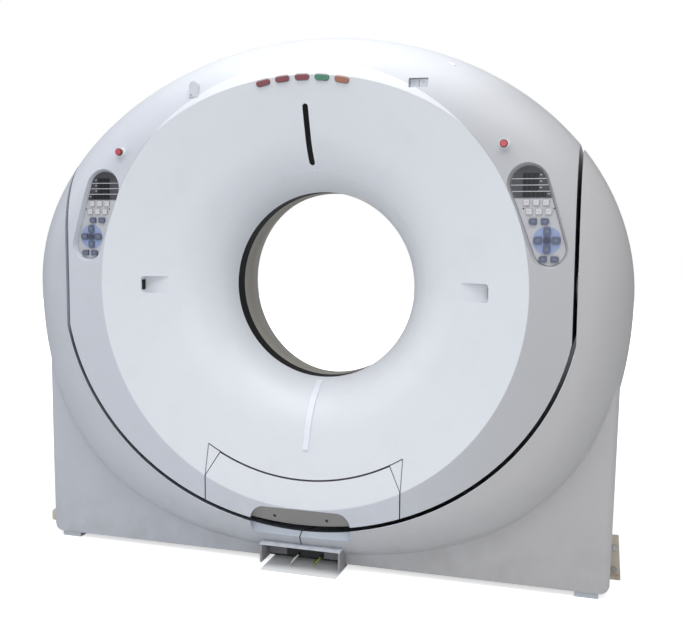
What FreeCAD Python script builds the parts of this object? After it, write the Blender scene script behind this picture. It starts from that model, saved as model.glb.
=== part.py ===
import FreeCAD, Part
import math
import os

# A tilting computed-tomography gantry, in millimetres.  Every piece is built
# about the isocentre: X to the viewer's right, Y away from the front, Z up,
# with the tilt axis along X and the bore axis along Y.  The last step moves
# all pieces to the floor frame.

# ---- driving dimensions: whole machine ----
aperture_radius = 360.0        # clear bore of the patient aperture
rotor_radius = 850.0           # everything outside it is built round it
front_depth = 314.0            # scan plane to the front face
tilting_rear = 606.0           # scan plane to the back of the tilting body
wall = 5.0                     # moulded cover thickness
skin_gap = 0.3                 # clearance of faces that almost touch
running_fit = 0.05             # radial clearance of a shaft in its bore
seam = 1.0                     # joint line between two covers

# ---- outer body: half an ellipse above the axis, a fuller half oval below ----
rotor_side_space = 110.0       # rotor to the centre of each cheek's gap
rotor_foot_space = 35.0        # rotor to the lowest point of the curved gap
cheek_width = 187.0
cradle_height = 129.0          # body under the curved gap
belly = 1.0                    # pole weight of the lower quarters; 0.707 is an ellipse
floor_space = 36.0             # oval body's lowest point above the floor
crown_rise = 43.0              # how much the top is higher than the gap is low
side_rounding = 150.0
top_rounding = 265.0
rear_rounding = 100.0

# ---- tilting body and the gap round it ----
arc_spread = 16.0              # the curved gap is wider than the cheeks' gap
gap_width = 14.0
swing_margin = 40.0            # what the lower rear edge sweeps below the gap
rear_clearance = 20.0          # room round that sweep
rear_margin = 40.0             # back of the stand behind the tilting body
tilt_limit = 30.0              # degrees each way
cover_split = 60.0             # front covers meet rear covers here

# ---- funnel profile, angles from the bore axis ----
window_half = 32.0             # half of the scan window's width
window_wall = 4.0
lip_angle = 14.0
throat_angle = 45.0
throat_radius = 250.0
flare_radius = 330.0
crease_margin = 36.7           # funnel's rim inside the rotor radius
liner_length = 83.0            # from the scan window to the rear funnel
liner_wall = 6.0
liner_grooves = 7
groove_pitch = 10.0
groove_width = 3.0
groove_depth = 1.0
rear_lip_angle = 8.0
rear_cone_angle = 32.0
rear_throat_radius = 700.0
rear_edge_angle = 85.0
rear_edge_radius = 150.0
rear_joint_margin = 14.0       # joint of the rear funnel outside its rim
rear_sectors = 8               # pieces of the rear funnel

# ---- service panel and the scoop across the lower gap ----
panel_inset = 102.3            # its top edge inside the funnel's rim
panel_corner = 330.0           # half width where the top edge ends
panel_half = 377.0             # half width lower down
panel_lean = 3.0               # the sides start this far below that arc
panel_depth = 60.0             # how far its return edges reach back
panel_side_gap = 3.0
panel_top_gap = 0.9
panel_screw_x = 102.0
panel_screw_rise = 36.0        # above the gap
panel_screw_r = 3.5
scoop_half = 195.0
scoop_rise = 73.0              # top edge above the gap
scoop_drop = 50.0              # foot below the gap
scoop_corner = 55.0
scoop_depth = 30.0

# ---- recesses and small pieces on the funnel and the shoulder ----
laser_slot_inset = 149.3       # slot's top end inside the funnel's rim
laser_slot_length = 212.0
laser_slot_width = 22.0
laser_recess_inset = 145.3     # recess's outer end inside the rim
laser_recess_length = 113.0
laser_recess_half = 32.5
laser_recess_depth = 82.0      # behind the front face
laser_recess_corner = 12.0
laser_slit_half = 19.0
laser_slit_width = 2.5
laser_slit_length = 24.0
strip_width = 22.0
strip_thickness = 6.0
strip_head_depth = 70.0        # strip's upper end behind the scan plane
strip_foot_gap = 109.0         # strip's lower end above the service panel
socket_rise = 15.3             # pocket's centre outside the funnel's rim
socket_angle = 59.78           # from the X axis
socket_width = 66.0
socket_height = 34.0
socket_depth = 48.0            # pocket floor behind the front face
socket_corner = 3.0
socket_plate = 5.0
socket_margin = 3.0
socket_divider = 4.0
socket_hole_r = 7.0
socket_hole_depth = 3.0
lamp_count = 5
lamp_inset = 61.3              # lamps inside the funnel's rim
lamp_pitch = 5.65              # degrees between lamps
lamp_length = 54.0
lamp_width = 24.0
lamp_set_back = 15.0           # lens front behind the front face
lamp_thickness = 19.0
lamp_edge = 3.0
tab_rise = 33.2                # top circle's centre outside the rim
tab_angle = 119.74
tab_width = 36.0
tab_foot = 38.0                # straight foot below that centre
tab_set_back = 14.0
tab_eye_r = 3.0
tab_eye_in = 8.0
tab_eye_up = 7.0

# ---- control panels, right-hand one; the left is its mirror.  "in" sizes
# ---- are measured inwards from the tilting body's side ----
pocket_top_in = 155.0
pocket_top_z = 370.0
pocket_top_r = 71.0
pocket_foot_in = 82.0
pocket_foot_z = 152.0
pocket_foot_r = 62.5
pocket_depth = 26.0
pocket_draft = 10.0            # the pocket's floor is that much smaller
panel_thickness = 5.0
panel_margin = 0.5             # plate inside the pocket's floor
display_foot = 324.0
display_margin = 1.5
display_thickness = 2.0
display_rows = 4
display_first = 397.5
display_pitch = 20.8
display_height = 15.8
display_left_in = 175.2
display_width = 51.4
display_width_long = 77.4      # the last row is wider
key_size = 24.0
key_corner = 3.0
key_round = 9.5                # corners at a blue key's rounded end
key_height = 7.0
key_travel = 1.5
white_key_size = 21.5
white_key_height = 4.0
white_key_pitch = 32.0
white_key_columns = 3
white_high_in = 162.1
white_high_z = 309.3
white_low_in = 152.6
white_low_z = 279.3
pad_in = 91.7
pad_z = 183.6
pad_radius = 46.0
pad_height = 1.5
pad_step = 30.0
letter_width = 27.0
letter_height = 21.0
letter_a_in = 139.3
letter_b_in = 99.4
letter_c_in = 103.9
letter_d_in = 64.8
letter_high_z = 246.3
letter_low_z = 121.0
arrow_long = 28.0              # arrow keys, along their direction
home_height = 22.0
stop_rise = 60.6               # stop buttons outside the funnel's rim
stop_angle = 34.98
stop_collar_height = 5.0
stop_collar_r = 17.0
stop_head_r = 13.5
stop_head_height = 10.0
stop_head_edge = 3.0
stop_stem_r = 8.0
stop_stem_length = 30.0
stop_travel = 4.0

# ---- stand covers ----
stand_set_back = 81.0          # flat front behind the machine's front face
stand_step = 34.0              # flat stand narrower than the oval body
stand_taper = 12.0
stand_top_drop = 230.0         # top of the flat stand below the axis
cover_lift = 20.0              # covers stand clear of the floor
stand_corner_radius = 35.0
stand_edge_rounding = 28.0
lip_depth = 55.0               # return lip of each cheek
cheek_wall_top = 380.0         # above this a cheek keeps its whole inner wall

# ---- cable hood and its connectors, heights above the floor ----
hood_half = 157.0
hood_height = 95.0
hood_wall = 7.0
hood_reach = 79.0              # in front of the stand
connector_depth = 85.0         # in front of the front beam
connector_low = 41.0
connector_high = 70.0
left_connector = (-69.0, 3.0)
right_connector = (6.0, 76.0)
connector_plate = 5.0
plate_set_back = 4.0           # behind the connectors' fronts
plate_low = 38.0
cable_height = 47.5            # where both cables leave their connectors
white_cable_r = 2.8
white_cable_x = -20.0
white_cable_run = 22.5
earth_cable_r = 2.5
earth_cable_x = 68.0
earth_cable_run = 20.0

# ---- base frame, pylons and floor brackets ----
beam_height = 80.0
beam_width = 100.0
beam_side_step = 15.0          # its inner side inside the pylon
beam_depth = 70.0
front_beam_back = 63.0         # behind the stand's front
rear_beam_back = 166.0         # in front of the stand's back
anchor_in = 25.0
anchor_front_back = 43.0
anchor_rear_back = 56.0
anchor_hole_r = 9.0
pylon_front = 130.0
pylon_rear = 380.0
pylon_top = 150.0
pylon_plate = 8.0
rib_drop = 145.0
bracket_reach = 40.0           # outside the stand
bracket_clearance = 0.8        # bracket to the stand cover beside it
bracket_height = 157.0
bracket_taper = 11.0
bracket_plate = 8.0
bracket_foot = 6.0
bracket_foot_front = 30.0
bracket_foot_rear = 60.0
bracket_bolt_out = 17.0
bracket_bolt_low = 30.0
bracket_bolt_high = 112.0
bracket_hole_y = 40.0
bolt_r = 6.0
bolt_head_r = 11.0
bolt_head_height = 8.0
bolt_nut_height = 9.0
bolt_spare = 14.0

# ---- tilt drive ----
trunnion_radius = 60.0
trunnion_reach = 50.0          # into the pylon
trunnion_clearance = 6.0
bearing_outer = 80.0
bearing_flange = 105.0
bearing_flange_width = 16.0
bearing_length = 40.0          # inside the pylon
gear_module = 8.0
sector_pitch = 240.0
sector_teeth = 15
sector_hub_width = 35.0
sector_web_half = 70.0
sector_web_front = 40.0
pinion_teeth = 12
gear_side_gap = 4.0            # sector gear to the tilting body
gear_width = 20.0
gear_bearing_gap = 7.0
gear_shaft_r = 14.0
shaft_clearance = 8.0
tilt_motor_r = 60.0
tilt_motor_length = 73.0
gearbox_width = 50.0
gearbox_half = 70.0
gearbox_top_drop = 40.0

# ---- tilting frame ----
frame_margin = 15.0            # frame outside the rotor
frame_front = 170.0
frame_plate = 50.0
arm_margin = 35.0              # arms outside the rotor
arm_front = 110.0
arm_drop = 150.0
arm_rise = 170.0
bridge_width = 65.0
frame_holes = 12
frame_hole_r = 60.0
lug_half_width = 80.0
lug_half_height = 70.0

# ---- rotor and its drive ----
rotor_bore_clearance = 19.0    # round the bore liner
disk_front = 70.0
disk_thickness = 25.0
hub_margin = 52.0              # hub's bore outside the patient aperture
hub_wall = 28.0
hub_reach = 36.0               # behind the tilting frame
rotor_holes = 16
rotor_hole_share = 0.58        # of the ring between hub and sheave
race_clearance = 0.5
race_width = 51.0
race_front = 40.0
race_rear = 20.0
race_groove = 12.0
sheave_inset = 250.0           # sheave inside the rotor radius
sheave_width = 40.0
sheave_length = 55.0
belt_thickness = 4.0
belt_width = 40.0
belt_offset = 7.0              # behind the rotor disk
pulley_radius = 45.0
pulley_flange = 6.0
pulley_flange_width = 3.0
pulley_side_gap = 2.0
pulley_inset = 85.0            # inside the frame radius
pulley_z = 470.0
motor_shaft_r = 14.0
motor_shaft_clearance = 2.0
motor_shaft_reach = 55.0
motor_bore_depth = 60.0
motor_radius = 70.0
motor_length = 150.0
motor_cap = 15.0
terminal_half = 45.0
terminal_start = 30.0
terminal_length = 80.0
terminal_drop = 25.0
slip_width = 120.0
slip_thickness = 24.0
slip_tracks = 4
slip_track_pitch = 22.0
slip_track_width = 8.0
slip_track_depth = 3.0
brush_half = 70.0
brush_height = 90.0
brush_overhang = 6.0
tube_inset = 150.0             # tube's axis inside the rotor radius
tube_radius = 100.0
tube_front = 140.0
tube_nose = 20.0
tube_nose_step = 30.0
tube_socket_half = 35.0
tube_socket_reach = 60.0
collimator_half = 110.0
collimator_height = 110.0
collimator_front = 60.0
collimator_slot_half = 85.0
collimator_slot_width = 50.0
detector_inset = 290.0
detector_height = 85.0
detector_front = 70.0
detector_half_angle = 30.0
detector_window = 8.0
detector_window_half = 40.0
module_count = 9
module_pitch = 6.5             # degrees
module_half = 26.0
module_height = 45.0
module_inset = 15.0
block_angle = 104.0            # generator one way, counterweight the other
block_half = 130.0
block_inset = 50.0
block_height = 230.0
block_corner = 10.0
generator_front = 120.0
counterweight_front = 115.0
rib_count = 6
rib_pitch = 36.0
rib_width = 14.0
rib_depth = 12.0
rib_start = 20.0
weight_recess_half = 90.0
weight_recess_depth = 5.0

X = FreeCAD.Vector(1, 0, 0)
Y = FreeCAD.Vector(0, 1, 0)
Z = FreeCAD.Vector(0, 0, 1)

# ---- places that follow from the sizes above ----
half_gap = gap_width / 2.0
cheek_gap_mid = rotor_radius + rotor_side_space
side_in = cheek_gap_mid - half_gap             # tilting body's side
side_out = cheek_gap_mid + half_gap            # cheek's inner side
arc_half_width = cheek_gap_mid + arc_spread
arc_drop = rotor_radius + rotor_foot_space
arc_foot = -arc_drop                           # lowest point of the curved gap
body_half_width = cheek_gap_mid + cheek_width
body_top = arc_drop + crown_rise
body_bottom = arc_drop + cradle_height
axis_height = body_bottom + floor_space        # bore axis above the floor
floor_z = -axis_height
swing_radius = arc_drop + swing_margin
rear_depth = tilting_rear + rear_margin        # scan plane to the stand's back
crease_radius = rotor_radius - crease_margin   # the funnel's rim
liner_end = window_half + liner_length
liner_outer = aperture_radius + liner_wall
panel_arc = crease_radius - panel_inset        # service panel's top edge
laser_slot_top = crease_radius - laser_slot_inset
laser_slot_foot = laser_slot_top - laser_slot_length
laser_recess_out = crease_radius - laser_recess_inset
laser_recess_in = laser_recess_out - laser_recess_length
lamp_radius = crease_radius - lamp_inset
pocket_floor = front_depth - pocket_depth
panel_face = pocket_floor + panel_thickness
pocket_top_x = side_in - pocket_top_in
pocket_foot_x = side_in - pocket_foot_in
display_left = side_in - display_left_in
pad_x = side_in - pad_in
laser_floor = front_depth - laser_recess_depth
socket_floor = front_depth - socket_depth
stop_face = front_depth + stop_collar_height
stop_underside = stop_face + stop_travel + seam
stop_front = stop_underside + stop_head_height  # foremost point of the machine
base_y = (rear_depth - stop_front) / 2.0        # isocentre frame to floor frame
stand_front = front_depth - stand_set_back
stand_half_width_top = body_half_width - stand_step
stand_half_width_foot = stand_half_width_top - stand_taper
stand_top = -stand_top_drop
edge_angle = math.degrees(math.atan2(front_depth, arc_drop))
sweep_front = -(arc_drop + gap_width) * math.sin(math.radians(tilt_limit - edge_angle)) - rear_clearance
foot_inner = stand_half_width_foot - stand_corner_radius
hood_front = stand_front + hood_reach
front_beam_y = front_beam_back - stand_front
rear_beam_y = rear_depth - rear_beam_back
gear_inner = side_in + gear_side_gap
gear_outer = gear_inner + gear_width
bearing_start = gear_outer + gear_bearing_gap
pylon_inner = bearing_start + bearing_flange_width
trunnion_end = pylon_inner + trunnion_reach
beam_inner = pylon_inner - beam_side_step
beam_outer = beam_inner + beam_width
anchor_x = beam_inner + anchor_in
bracket_out = stand_half_width_foot + bracket_reach
bracket_bolt_x = stand_half_width_foot + bracket_bolt_out
pinion_pitch = pinion_teeth * gear_module / 2.0
pinion_y = sector_pitch + pinion_pitch
frame_radius = rotor_radius + frame_margin
frame_rear = frame_front + frame_plate
arm_inner = rotor_radius + arm_margin
disk_rear = disk_front + disk_thickness
hub_inner = aperture_radius + hub_margin
hub_outer = hub_inner + hub_wall
hub_end = frame_rear + hub_reach
race_outer = hub_outer + race_clearance + race_width
slip_radius = hub_outer + slip_width
sheave_radius = rotor_radius - sheave_inset
pulley_x = pulley_inset - frame_radius
tube_centre = rotor_radius - tube_inset
detector_inner = rotor_radius - detector_inset
block_high = rotor_radius - block_inset
block_low = block_high - block_height
sheave_end = disk_rear + sheave_length
belt_front = disk_rear + belt_offset
belt_rear = belt_front + belt_width
clear = 10.0                                   # overshoot of cutting tools
far = 2.0 * body_half_width


def v(x, y, z):
    return FreeCAD.Vector(x, y, z)


def box(x0, x1, y0, y1, z0, z1):
    return Part.makeBox(x1 - x0, y1 - y0, z1 - z0, v(x0, y0, z0))


def cyl_y(radius, y0, y1, x=0.0, z=0.0):
    return Part.makeCylinder(radius, y1 - y0, v(x, y0, z), Y)


def cyl_x(radius, x0, x1, y=0.0, z=0.0):
    return Part.makeCylinder(radius, x1 - x0, v(x0, y, z), X)


def cyl_z(radius, z0, z1, x, y):
    return Part.makeCylinder(radius, z1 - z0, v(x, y, z0), Z)


def tube_y(inner, outer, y0, y1):
    return cyl_y(outer, y0, y1).cut(cyl_y(inner, y0 - clear, y1 + clear))


def tube_x(inner, outer, x0, x1):
    return cyl_x(outer, x0, x1).cut(cyl_x(inner, x0 - clear, x1 + clear))


def prism_y(points, y0, y1):
    # closed outline of (x, z) points, pushed from y0 to y1
    corners = [v(x, y0, z) for x, z in points]
    face = Part.Face(Part.makePolygon(corners + [corners[0]]))
    return face.extrude(v(0, y1 - y0, 0))


def prism_x(points, x0, x1):
    # closed outline of (y, z) points, pushed from x0 to x1
    corners = [v(x0, y, z) for y, z in points]
    face = Part.Face(Part.makePolygon(corners + [corners[0]]))
    return face.extrude(v(x1 - x0, 0, 0))


def mirrored(shape):
    return shape.mirror(v(0, 0, 0), X)


def both_sides(shape):
    return Part.makeCompound([shape, mirrored(shape)])


def turned(shape, angle):
    # turned about the bore axis, clockwise seen from the front
    shape = shape.copy()
    shape.rotate(v(0, 0, 0), Y, angle)
    return shape


def on_circle(radius, degrees):
    angle = math.radians(degrees)
    return radius * math.cos(angle), radius * math.sin(angle)


def edges_along(shape, axis):
    return [e for e in shape.Edges if abs(e.tangentAt(e.FirstParameter).dot(axis)) > 0.99]


def rounded_block(x0, x1, z0, z1, corner, y0, y1):
    block = box(x0, x1, y0, y1, z0, z1)
    return block.makeFillet(corner, edges_along(block, Y))


def capsule_wire(top, foot, grow, y):
    # two circles (x, z, radius) joined by their outer tangents
    x0, z0, r0 = top
    x1, z1, r1 = foot
    along = math.atan2(z1 - z0, x1 - x0)
    lean = math.acos((r0 - r1) / math.hypot(x1 - x0, z1 - z0))

    def on_top(angle):
        return v(x0 + (r0 + grow) * math.cos(angle), y, z0 + (r0 + grow) * math.sin(angle))

    def on_foot(angle):
        return v(x1 + (r1 + grow) * math.cos(angle), y, z1 + (r1 + grow) * math.sin(angle))

    top_arc = Part.Arc(on_top(along - lean), on_top(along + math.pi), on_top(along + lean)).toShape()
    foot_arc = Part.Arc(on_foot(along + lean), on_foot(along), on_foot(along - lean)).toShape()
    down = Part.makeLine(on_top(along + lean), on_foot(along + lean))
    up = Part.makeLine(on_foot(along - lean), on_top(along - lean))
    return Part.Wire([top_arc, down, foot_arc, up])


def capsule(top, foot, grow, y0, y1):
    return Part.Face(capsule_wire(top, foot, grow, y0)).extrude(v(0, y1 - y0, 0))


# ---- outer body ----

def half_oval(half_width, reach, y):
    # upper half for a positive reach, lower half for a negative one
    turn = 1 if reach > 0 else -1
    start = v(turn * half_width, y, 0)
    return Part.Ellipse(start, v(0, y, reach), v(0, y, 0)).toShape(0, math.pi)


def belly_quarter(start, corner, end):
    # quarter from start to end, tangent to the corner's two sides
    curve = Part.BSplineCurve()
    curve.buildFromPolesMultsKnots([start, corner, end], [3, 3], [0, 1], False, 2, [1, belly, 1])
    return curve.toShape()


def oval_wire(half_width, top, bottom, y):
    left, low, right = v(-half_width, y, 0), v(0, y, -bottom), v(half_width, y, 0)
    left_quarter = belly_quarter(left, v(-half_width, y, -bottom), low)
    right_quarter = belly_quarter(low, v(half_width, y, -bottom), right)
    return Part.Wire([half_oval(half_width, top, y), left_quarter, right_quarter])


def drawn_in(radius, depth):
    # how far a quarter-round edge is drawn in at a depth behind its face
    if depth >= radius:
        return 0.0
    return radius - math.sqrt(radius ** 2 - (radius - depth) ** 2)


def quarter_depths(radius, steps):
    return [radius * (1 - math.cos(math.pi / 2 * step / steps)) for step in range(steps + 1)]


def body_envelope(inset, rear):
    # the rounded oval body, all faces moved in by inset
    front = -front_depth + inset
    back = rear - inset
    half_width = body_half_width - inset
    top = body_top - inset
    bottom = body_bottom - inset
    side_r = side_rounding - inset
    top_r = top_rounding - inset
    rear_r = rear_rounding - inset

    def front_section(depth):
        side = drawn_in(side_r, depth)
        return oval_wire(half_width - side, top - drawn_in(top_r, depth), bottom - side, front + depth)

    def rear_section(depth):
        side = drawn_in(rear_r, depth)
        return oval_wire(half_width - side, top - side, bottom - side, back - depth)

    nose = Part.makeLoft([front_section(depth) for depth in quarter_depths(side_r, 6)], True, False)
    brow_depths = [side_r + (top_r - side_r) * step / 4.0 for step in range(5)]
    brow = Part.makeLoft([front_section(depth) for depth in brow_depths], True, False)
    middle = Part.Face(oval_wire(half_width, top, bottom, front + top_r))
    middle = middle.extrude(v(0, back - rear_r - front - top_r, 0))
    tail = Part.makeLoft([rear_section(depth) for depth in quarter_depths(rear_r, 4)], True, False)
    return nose.fuse([brow, middle, tail])


def lower_arc_prism(inset, y0, y1):
    # the region inside the curved gap, below the axis
    half_width = arc_half_width - inset
    chord = Part.makeLine(v(half_width, y0, 0), v(-half_width, y0, 0))
    outline = Part.Wire([half_oval(half_width, -(arc_drop - inset), y0), chord])
    return Part.Face(outline).extrude(v(0, y1 - y0, 0))


def tilting_envelope(inset):
    half_width = side_in - inset
    front = -front_depth + inset
    back = tilting_rear - inset
    upper = body_envelope(inset, tilting_rear)
    upper = upper.common(box(-half_width, half_width, front - clear, back + clear, 0, body_top + clear))
    lower = lower_arc_prism(half_gap + inset, front, back)
    lower = lower.common(box(-half_width, half_width, front - clear, back + clear, -arc_drop, 0))
    lower = lower.common(cyl_x(swing_radius - inset, -half_width - clear, half_width + clear))
    return upper.fuse(lower).removeSplitter()


# ---- funnels ----

def flare_face(inset, outward, lip, arcs, runs, reach):
    # half section of a flared mouth, from its lip outwards: arcs of
    # (start angle, end angle, radius), each with the straight run after it
    radius = aperture_radius
    depth = lip
    points = []
    edges = []

    def place(r, d):
        return v(r, outward * d, 0)

    for (start, end, bend), run in zip(arcs, runs):
        a = math.radians(start)
        b = math.radians(end)
        centre_r = radius + bend * math.cos(a)
        centre_d = depth - bend * math.sin(a)
        size = bend - inset
        arc = [place(centre_r - size * math.cos(t), centre_d + size * math.sin(t))
               for t in (a, (a + b) / 2.0, b)]
        edges.append(Part.Arc(*arc).toShape())
        points += [arc[0], arc[2]]
        radius = centre_r - bend * math.cos(b) + run * math.sin(b)
        depth = centre_d + bend * math.sin(b) + run * math.cos(b)
        if run:
            foot = place(radius + inset * math.cos(b), depth - inset * math.sin(b))
            edges.append(Part.makeLine(arc[2], foot))
            points.append(foot)
    rim = v(points[-1].x, outward * reach, 0)
    outline = [points[-1], rim, v(0, rim.y, 0), v(0, points[0].y, 0), points[0]]
    edges += [Part.makeLine(a, b) for a, b in zip(outline, outline[1:])]
    return Part.Face(Part.Wire(Part.__sortEdges__(edges)))


def arc_gain(start, end, bend):
    # how much deeper an arc gets between two angles
    return bend * (math.sin(math.radians(end)) - math.sin(math.radians(start)))


def arc_spread_out(start, end, bend):
    # how much wider an arc gets between two angles
    return bend * (math.cos(math.radians(start)) - math.cos(math.radians(end)))


def front_arcs(cone_angle):
    return (lip_angle, throat_angle, throat_radius), (throat_angle, cone_angle, flare_radius)


def rim_radius(cone_angle):
    # where the funnel's cone meets the plane of the front face
    arcs = front_arcs(cone_angle)
    left = front_depth - window_half - sum(arc_gain(*arc) for arc in arcs)
    cone_rise = left * math.tan(math.radians(cone_angle))
    return aperture_radius + cone_rise + sum(arc_spread_out(*arc) for arc in arcs)


def funnel_cone_angle():
    # the cone angle, by halving, that brings the rim to the crease radius
    low = throat_angle
    high = 85.0
    for step in range(40):
        middle = (low + high) / 2.0
        if rim_radius(middle) < crease_radius:
            low = middle
        else:
            high = middle
    return low


def front_flare(inset):
    cone_angle = funnel_cone_angle()
    arcs = front_arcs(cone_angle)
    reach = front_depth + 4 * clear
    left = reach - clear - window_half - sum(arc_gain(*arc) for arc in arcs)
    cone_run = left / math.cos(math.radians(cone_angle))
    return flare_face(inset, -1, window_half, arcs, (0, cone_run), reach).revolve(v(0, 0, 0), Y, 360)


def rear_arcs():
    return ((rear_lip_angle, rear_cone_angle, rear_throat_radius),
            (rear_cone_angle, rear_edge_angle, rear_edge_radius))


def rear_cone_depth():
    return tilting_rear - liner_end - sum(arc_gain(*arc) for arc in rear_arcs())


def rear_rim_radius():
    # where the rear funnel's last arc meets the back face
    cone_rise = rear_cone_depth() * math.tan(math.radians(rear_cone_angle))
    return aperture_radius + cone_rise + sum(arc_spread_out(*arc) for arc in rear_arcs())


def rear_flare(inset):
    cone_run = rear_cone_depth() / math.cos(math.radians(rear_cone_angle))
    reach = tilting_rear + 4 * clear
    return flare_face(inset, 1, liner_end, rear_arcs(), (cone_run, 0), reach).revolve(v(0, 0, 0), Y, 360)


# ---- recesses ----

def walled(cover, room, recess_walls, recess):
    # gives a cover a moulded recess: its walls first, then the hollow
    return cover.fuse(recess_walls.common(room)).cut(recess)


def panel_pocket(grow):
    # pocket with leaning walls, straight in front of the front face
    top = (pocket_top_x, pocket_top_z, pocket_top_r)
    foot = (pocket_foot_x, pocket_foot_z, pocket_foot_r)
    mouth = capsule(top, foot, grow, -front_depth - clear, -front_depth)
    rim = capsule_wire(top, foot, grow, -front_depth)
    bottom = capsule_wire(top, foot, grow - pocket_draft, -pocket_floor + grow)
    return mouth.fuse(Part.makeLoft([rim, bottom], True, True))


def panel_plate(margin, y0, y1):
    top = (pocket_top_x, pocket_top_z, pocket_top_r)
    foot = (pocket_foot_x, pocket_foot_z, pocket_foot_r)
    return capsule(top, foot, -pocket_draft - margin, y0, y1)


def by_the_rim(rise, degrees):
    # place outside the funnel's rim, at an angle from the X axis
    return on_circle(crease_radius + rise, degrees)


def socket_pocket(grow):
    x, z = by_the_rim(socket_rise, socket_angle)
    half_width = socket_width / 2.0 + grow
    half_height = socket_height / 2.0 + grow
    return rounded_block(x - half_width, x + half_width, z - half_height, z + half_height,
                         socket_corner + grow, -front_depth - clear, -socket_floor + grow)


def laser_pocket(grow):
    return rounded_block(laser_recess_in - grow, laser_recess_out + grow, -laser_recess_half - grow,
                         laser_recess_half + grow, laser_recess_corner + grow, -front_depth,
                         -laser_floor + grow)


def laser_slot(shrink):
    half = laser_slot_width / 2.0 - shrink
    top = (0.0, laser_slot_top - half - shrink, half)
    foot = (0.0, laser_slot_foot + half + shrink, half)
    return capsule(top, foot, 0.0, -front_depth, 0)


def scoop(grow):
    # shallow hollow across the gap, deepest at the gap itself
    head = arc_foot + scoop_rise
    foot = arc_foot - scoop_drop
    bottom = -front_depth + scoop_depth + grow
    mouth = -front_depth - clear
    outline = rounded_block(-scoop_half - grow, scoop_half + grow, foot - grow, head + grow,
                            scoop_corner + grow, mouth, bottom + clear)
    spread = 1 + (clear + grow) / scoop_depth
    groove = [(mouth, arc_foot + spread * scoop_rise + grow), (bottom, arc_foot + grow),
              (bottom, arc_foot - grow), (mouth, arc_foot - spread * scoop_drop - grow)]
    return outline.common(prism_x(groove, -far, far))


def panel_outline(side_gap, top_gap):
    # service panel: an arc about the bore on top, leaning corners, straight sides
    radius = panel_arc - top_gap
    corner_x = panel_corner + side_gap
    corner_z = -math.sqrt(radius ** 2 - corner_x ** 2)
    side = panel_half + side_gap
    shoulder = -panel_arc - panel_lean + top_gap
    y0 = -front_depth - clear
    arc = Part.Arc(v(-corner_x, y0, corner_z), v(0, y0, -radius), v(corner_x, y0, corner_z)).toShape()
    path = [v(corner_x, y0, corner_z), v(side, y0, shoulder), v(side, y0, -body_bottom),
            v(-side, y0, -body_bottom), v(-side, y0, shoulder), v(-corner_x, y0, corner_z)]
    outline = Part.Wire([arc] + [Part.makeLine(a, b) for a, b in zip(path, path[1:])])
    return Part.Face(outline).extrude(v(0, panel_depth + clear, 0))


# ---- tilting body: covers ----

def tilting_covers():
    outer = tilting_envelope(0).cut([front_flare(0), rear_flare(0), cyl_y(aperture_radius, -far, far)])
    hollow = tilting_envelope(wall)
    skin = outer.cut(hollow)
    inner = outer.common(hollow)
    ring = skin.common(box(-far, far, -far, cover_split, -far, far))
    funnel = inner.common(front_flare(wall)).cut(cyl_y(liner_outer, -window_half, 0))
    rear = skin.common(box(-far, far, cover_split, far, -far, far)).fuse(inner.common(rear_flare(wall)))
    rear = rear.cut(cyl_y(liner_outer, 0, liner_end))
    return outer, ring, funnel, rear


def service_panel(room, ring, funnel):
    panel = ring.fuse(funnel).removeSplitter().common(panel_outline(0, 0))
    panel = walled(panel, room.common(panel_outline(0, 0)), scoop(wall), scoop(0))
    for x in (-panel_screw_x, panel_screw_x):
        panel = panel.cut(cyl_y(panel_screw_r, -front_depth, -front_depth + panel_depth, x,
                                 arc_foot + panel_screw_rise))
    return panel


def rear_sections(rear):
    # the moulded sections of the rear cover: its funnel in sectors, the shell
    # round it in halves
    joint = rear_rim_radius() + rear_joint_margin
    slit = box(-skin_gap / 2.0, skin_gap / 2.0, 0, far, 0, far)
    slits = [turned(slit, 360.0 * step / rear_sectors) for step in range(rear_sectors)]
    funnel = rear.common(cyl_y(joint, 0, far)).cut(slits)
    shell = rear.cut([cyl_y(joint + skin_gap, 0, far), box(-seam / 2.0, seam / 2.0, 0, far, -far, far)])
    return Part.makeCompound([funnel, shell])


def pieces_of_tilting_covers(parts):
    room, ring, funnel, rear = tilting_covers()
    parts["service_panel"] = service_panel(room, ring, funnel)
    panel_hole = panel_outline(panel_side_gap, panel_top_gap)
    ring = ring.cut(panel_hole)
    funnel = funnel.cut(panel_hole)
    stop_x, stop_z = by_the_rim(stop_rise, stop_angle)
    collar = cyl_y(stop_collar_r, -stop_face, -stop_face + stop_stem_length, stop_x, stop_z)
    collar = collar.cut(tilting_envelope(wall))
    stem_hole = cyl_y(stop_stem_r + skin_gap, -stop_front, 0, stop_x, stop_z)
    pin_hole = cyl_x(trunnion_radius + trunnion_clearance, side_in - 2 * wall, side_in + clear)
    for place in (lambda shape: shape, mirrored):
        ring = walled(ring, room, place(panel_pocket(wall)), place(panel_pocket(0)))
        ring = ring.fuse(place(collar)).cut([place(stem_hole), place(pin_hole)])
        funnel = funnel.cut(place(panel_pocket(wall)))
        funnel = walled(funnel, room, place(laser_pocket(wall)), place(laser_pocket(0)))
        rear = rear.cut(place(pin_hole))
    ring = walled(ring, room, socket_pocket(wall), socket_pocket(0))
    funnel = funnel.cut(laser_slot(0))
    holes = [lamp(angle, skin_gap, -front_depth, 0) for angle in lamp_angles()]
    parts["ring_cover"] = ring.cut(holes)
    parts["front_cover"] = funnel.cut(holes)
    parts["rear_cover"] = rear_sections(rear)


def laser_windows():
    strip = front_flare(wall).cut(front_flare(wall / 2.0)).common(laser_slot(skin_gap))
    slit = box(laser_recess_out - laser_slit_width, laser_recess_out, -laser_floor - laser_slit_length,
               -laser_floor, -laser_slit_half, laser_slit_half)
    return Part.makeCompound([strip, slit, mirrored(slit)])


def lamp_angles():
    return [lamp_pitch * (step - (lamp_count - 1) / 2.0) for step in range(lamp_count)]


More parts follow.
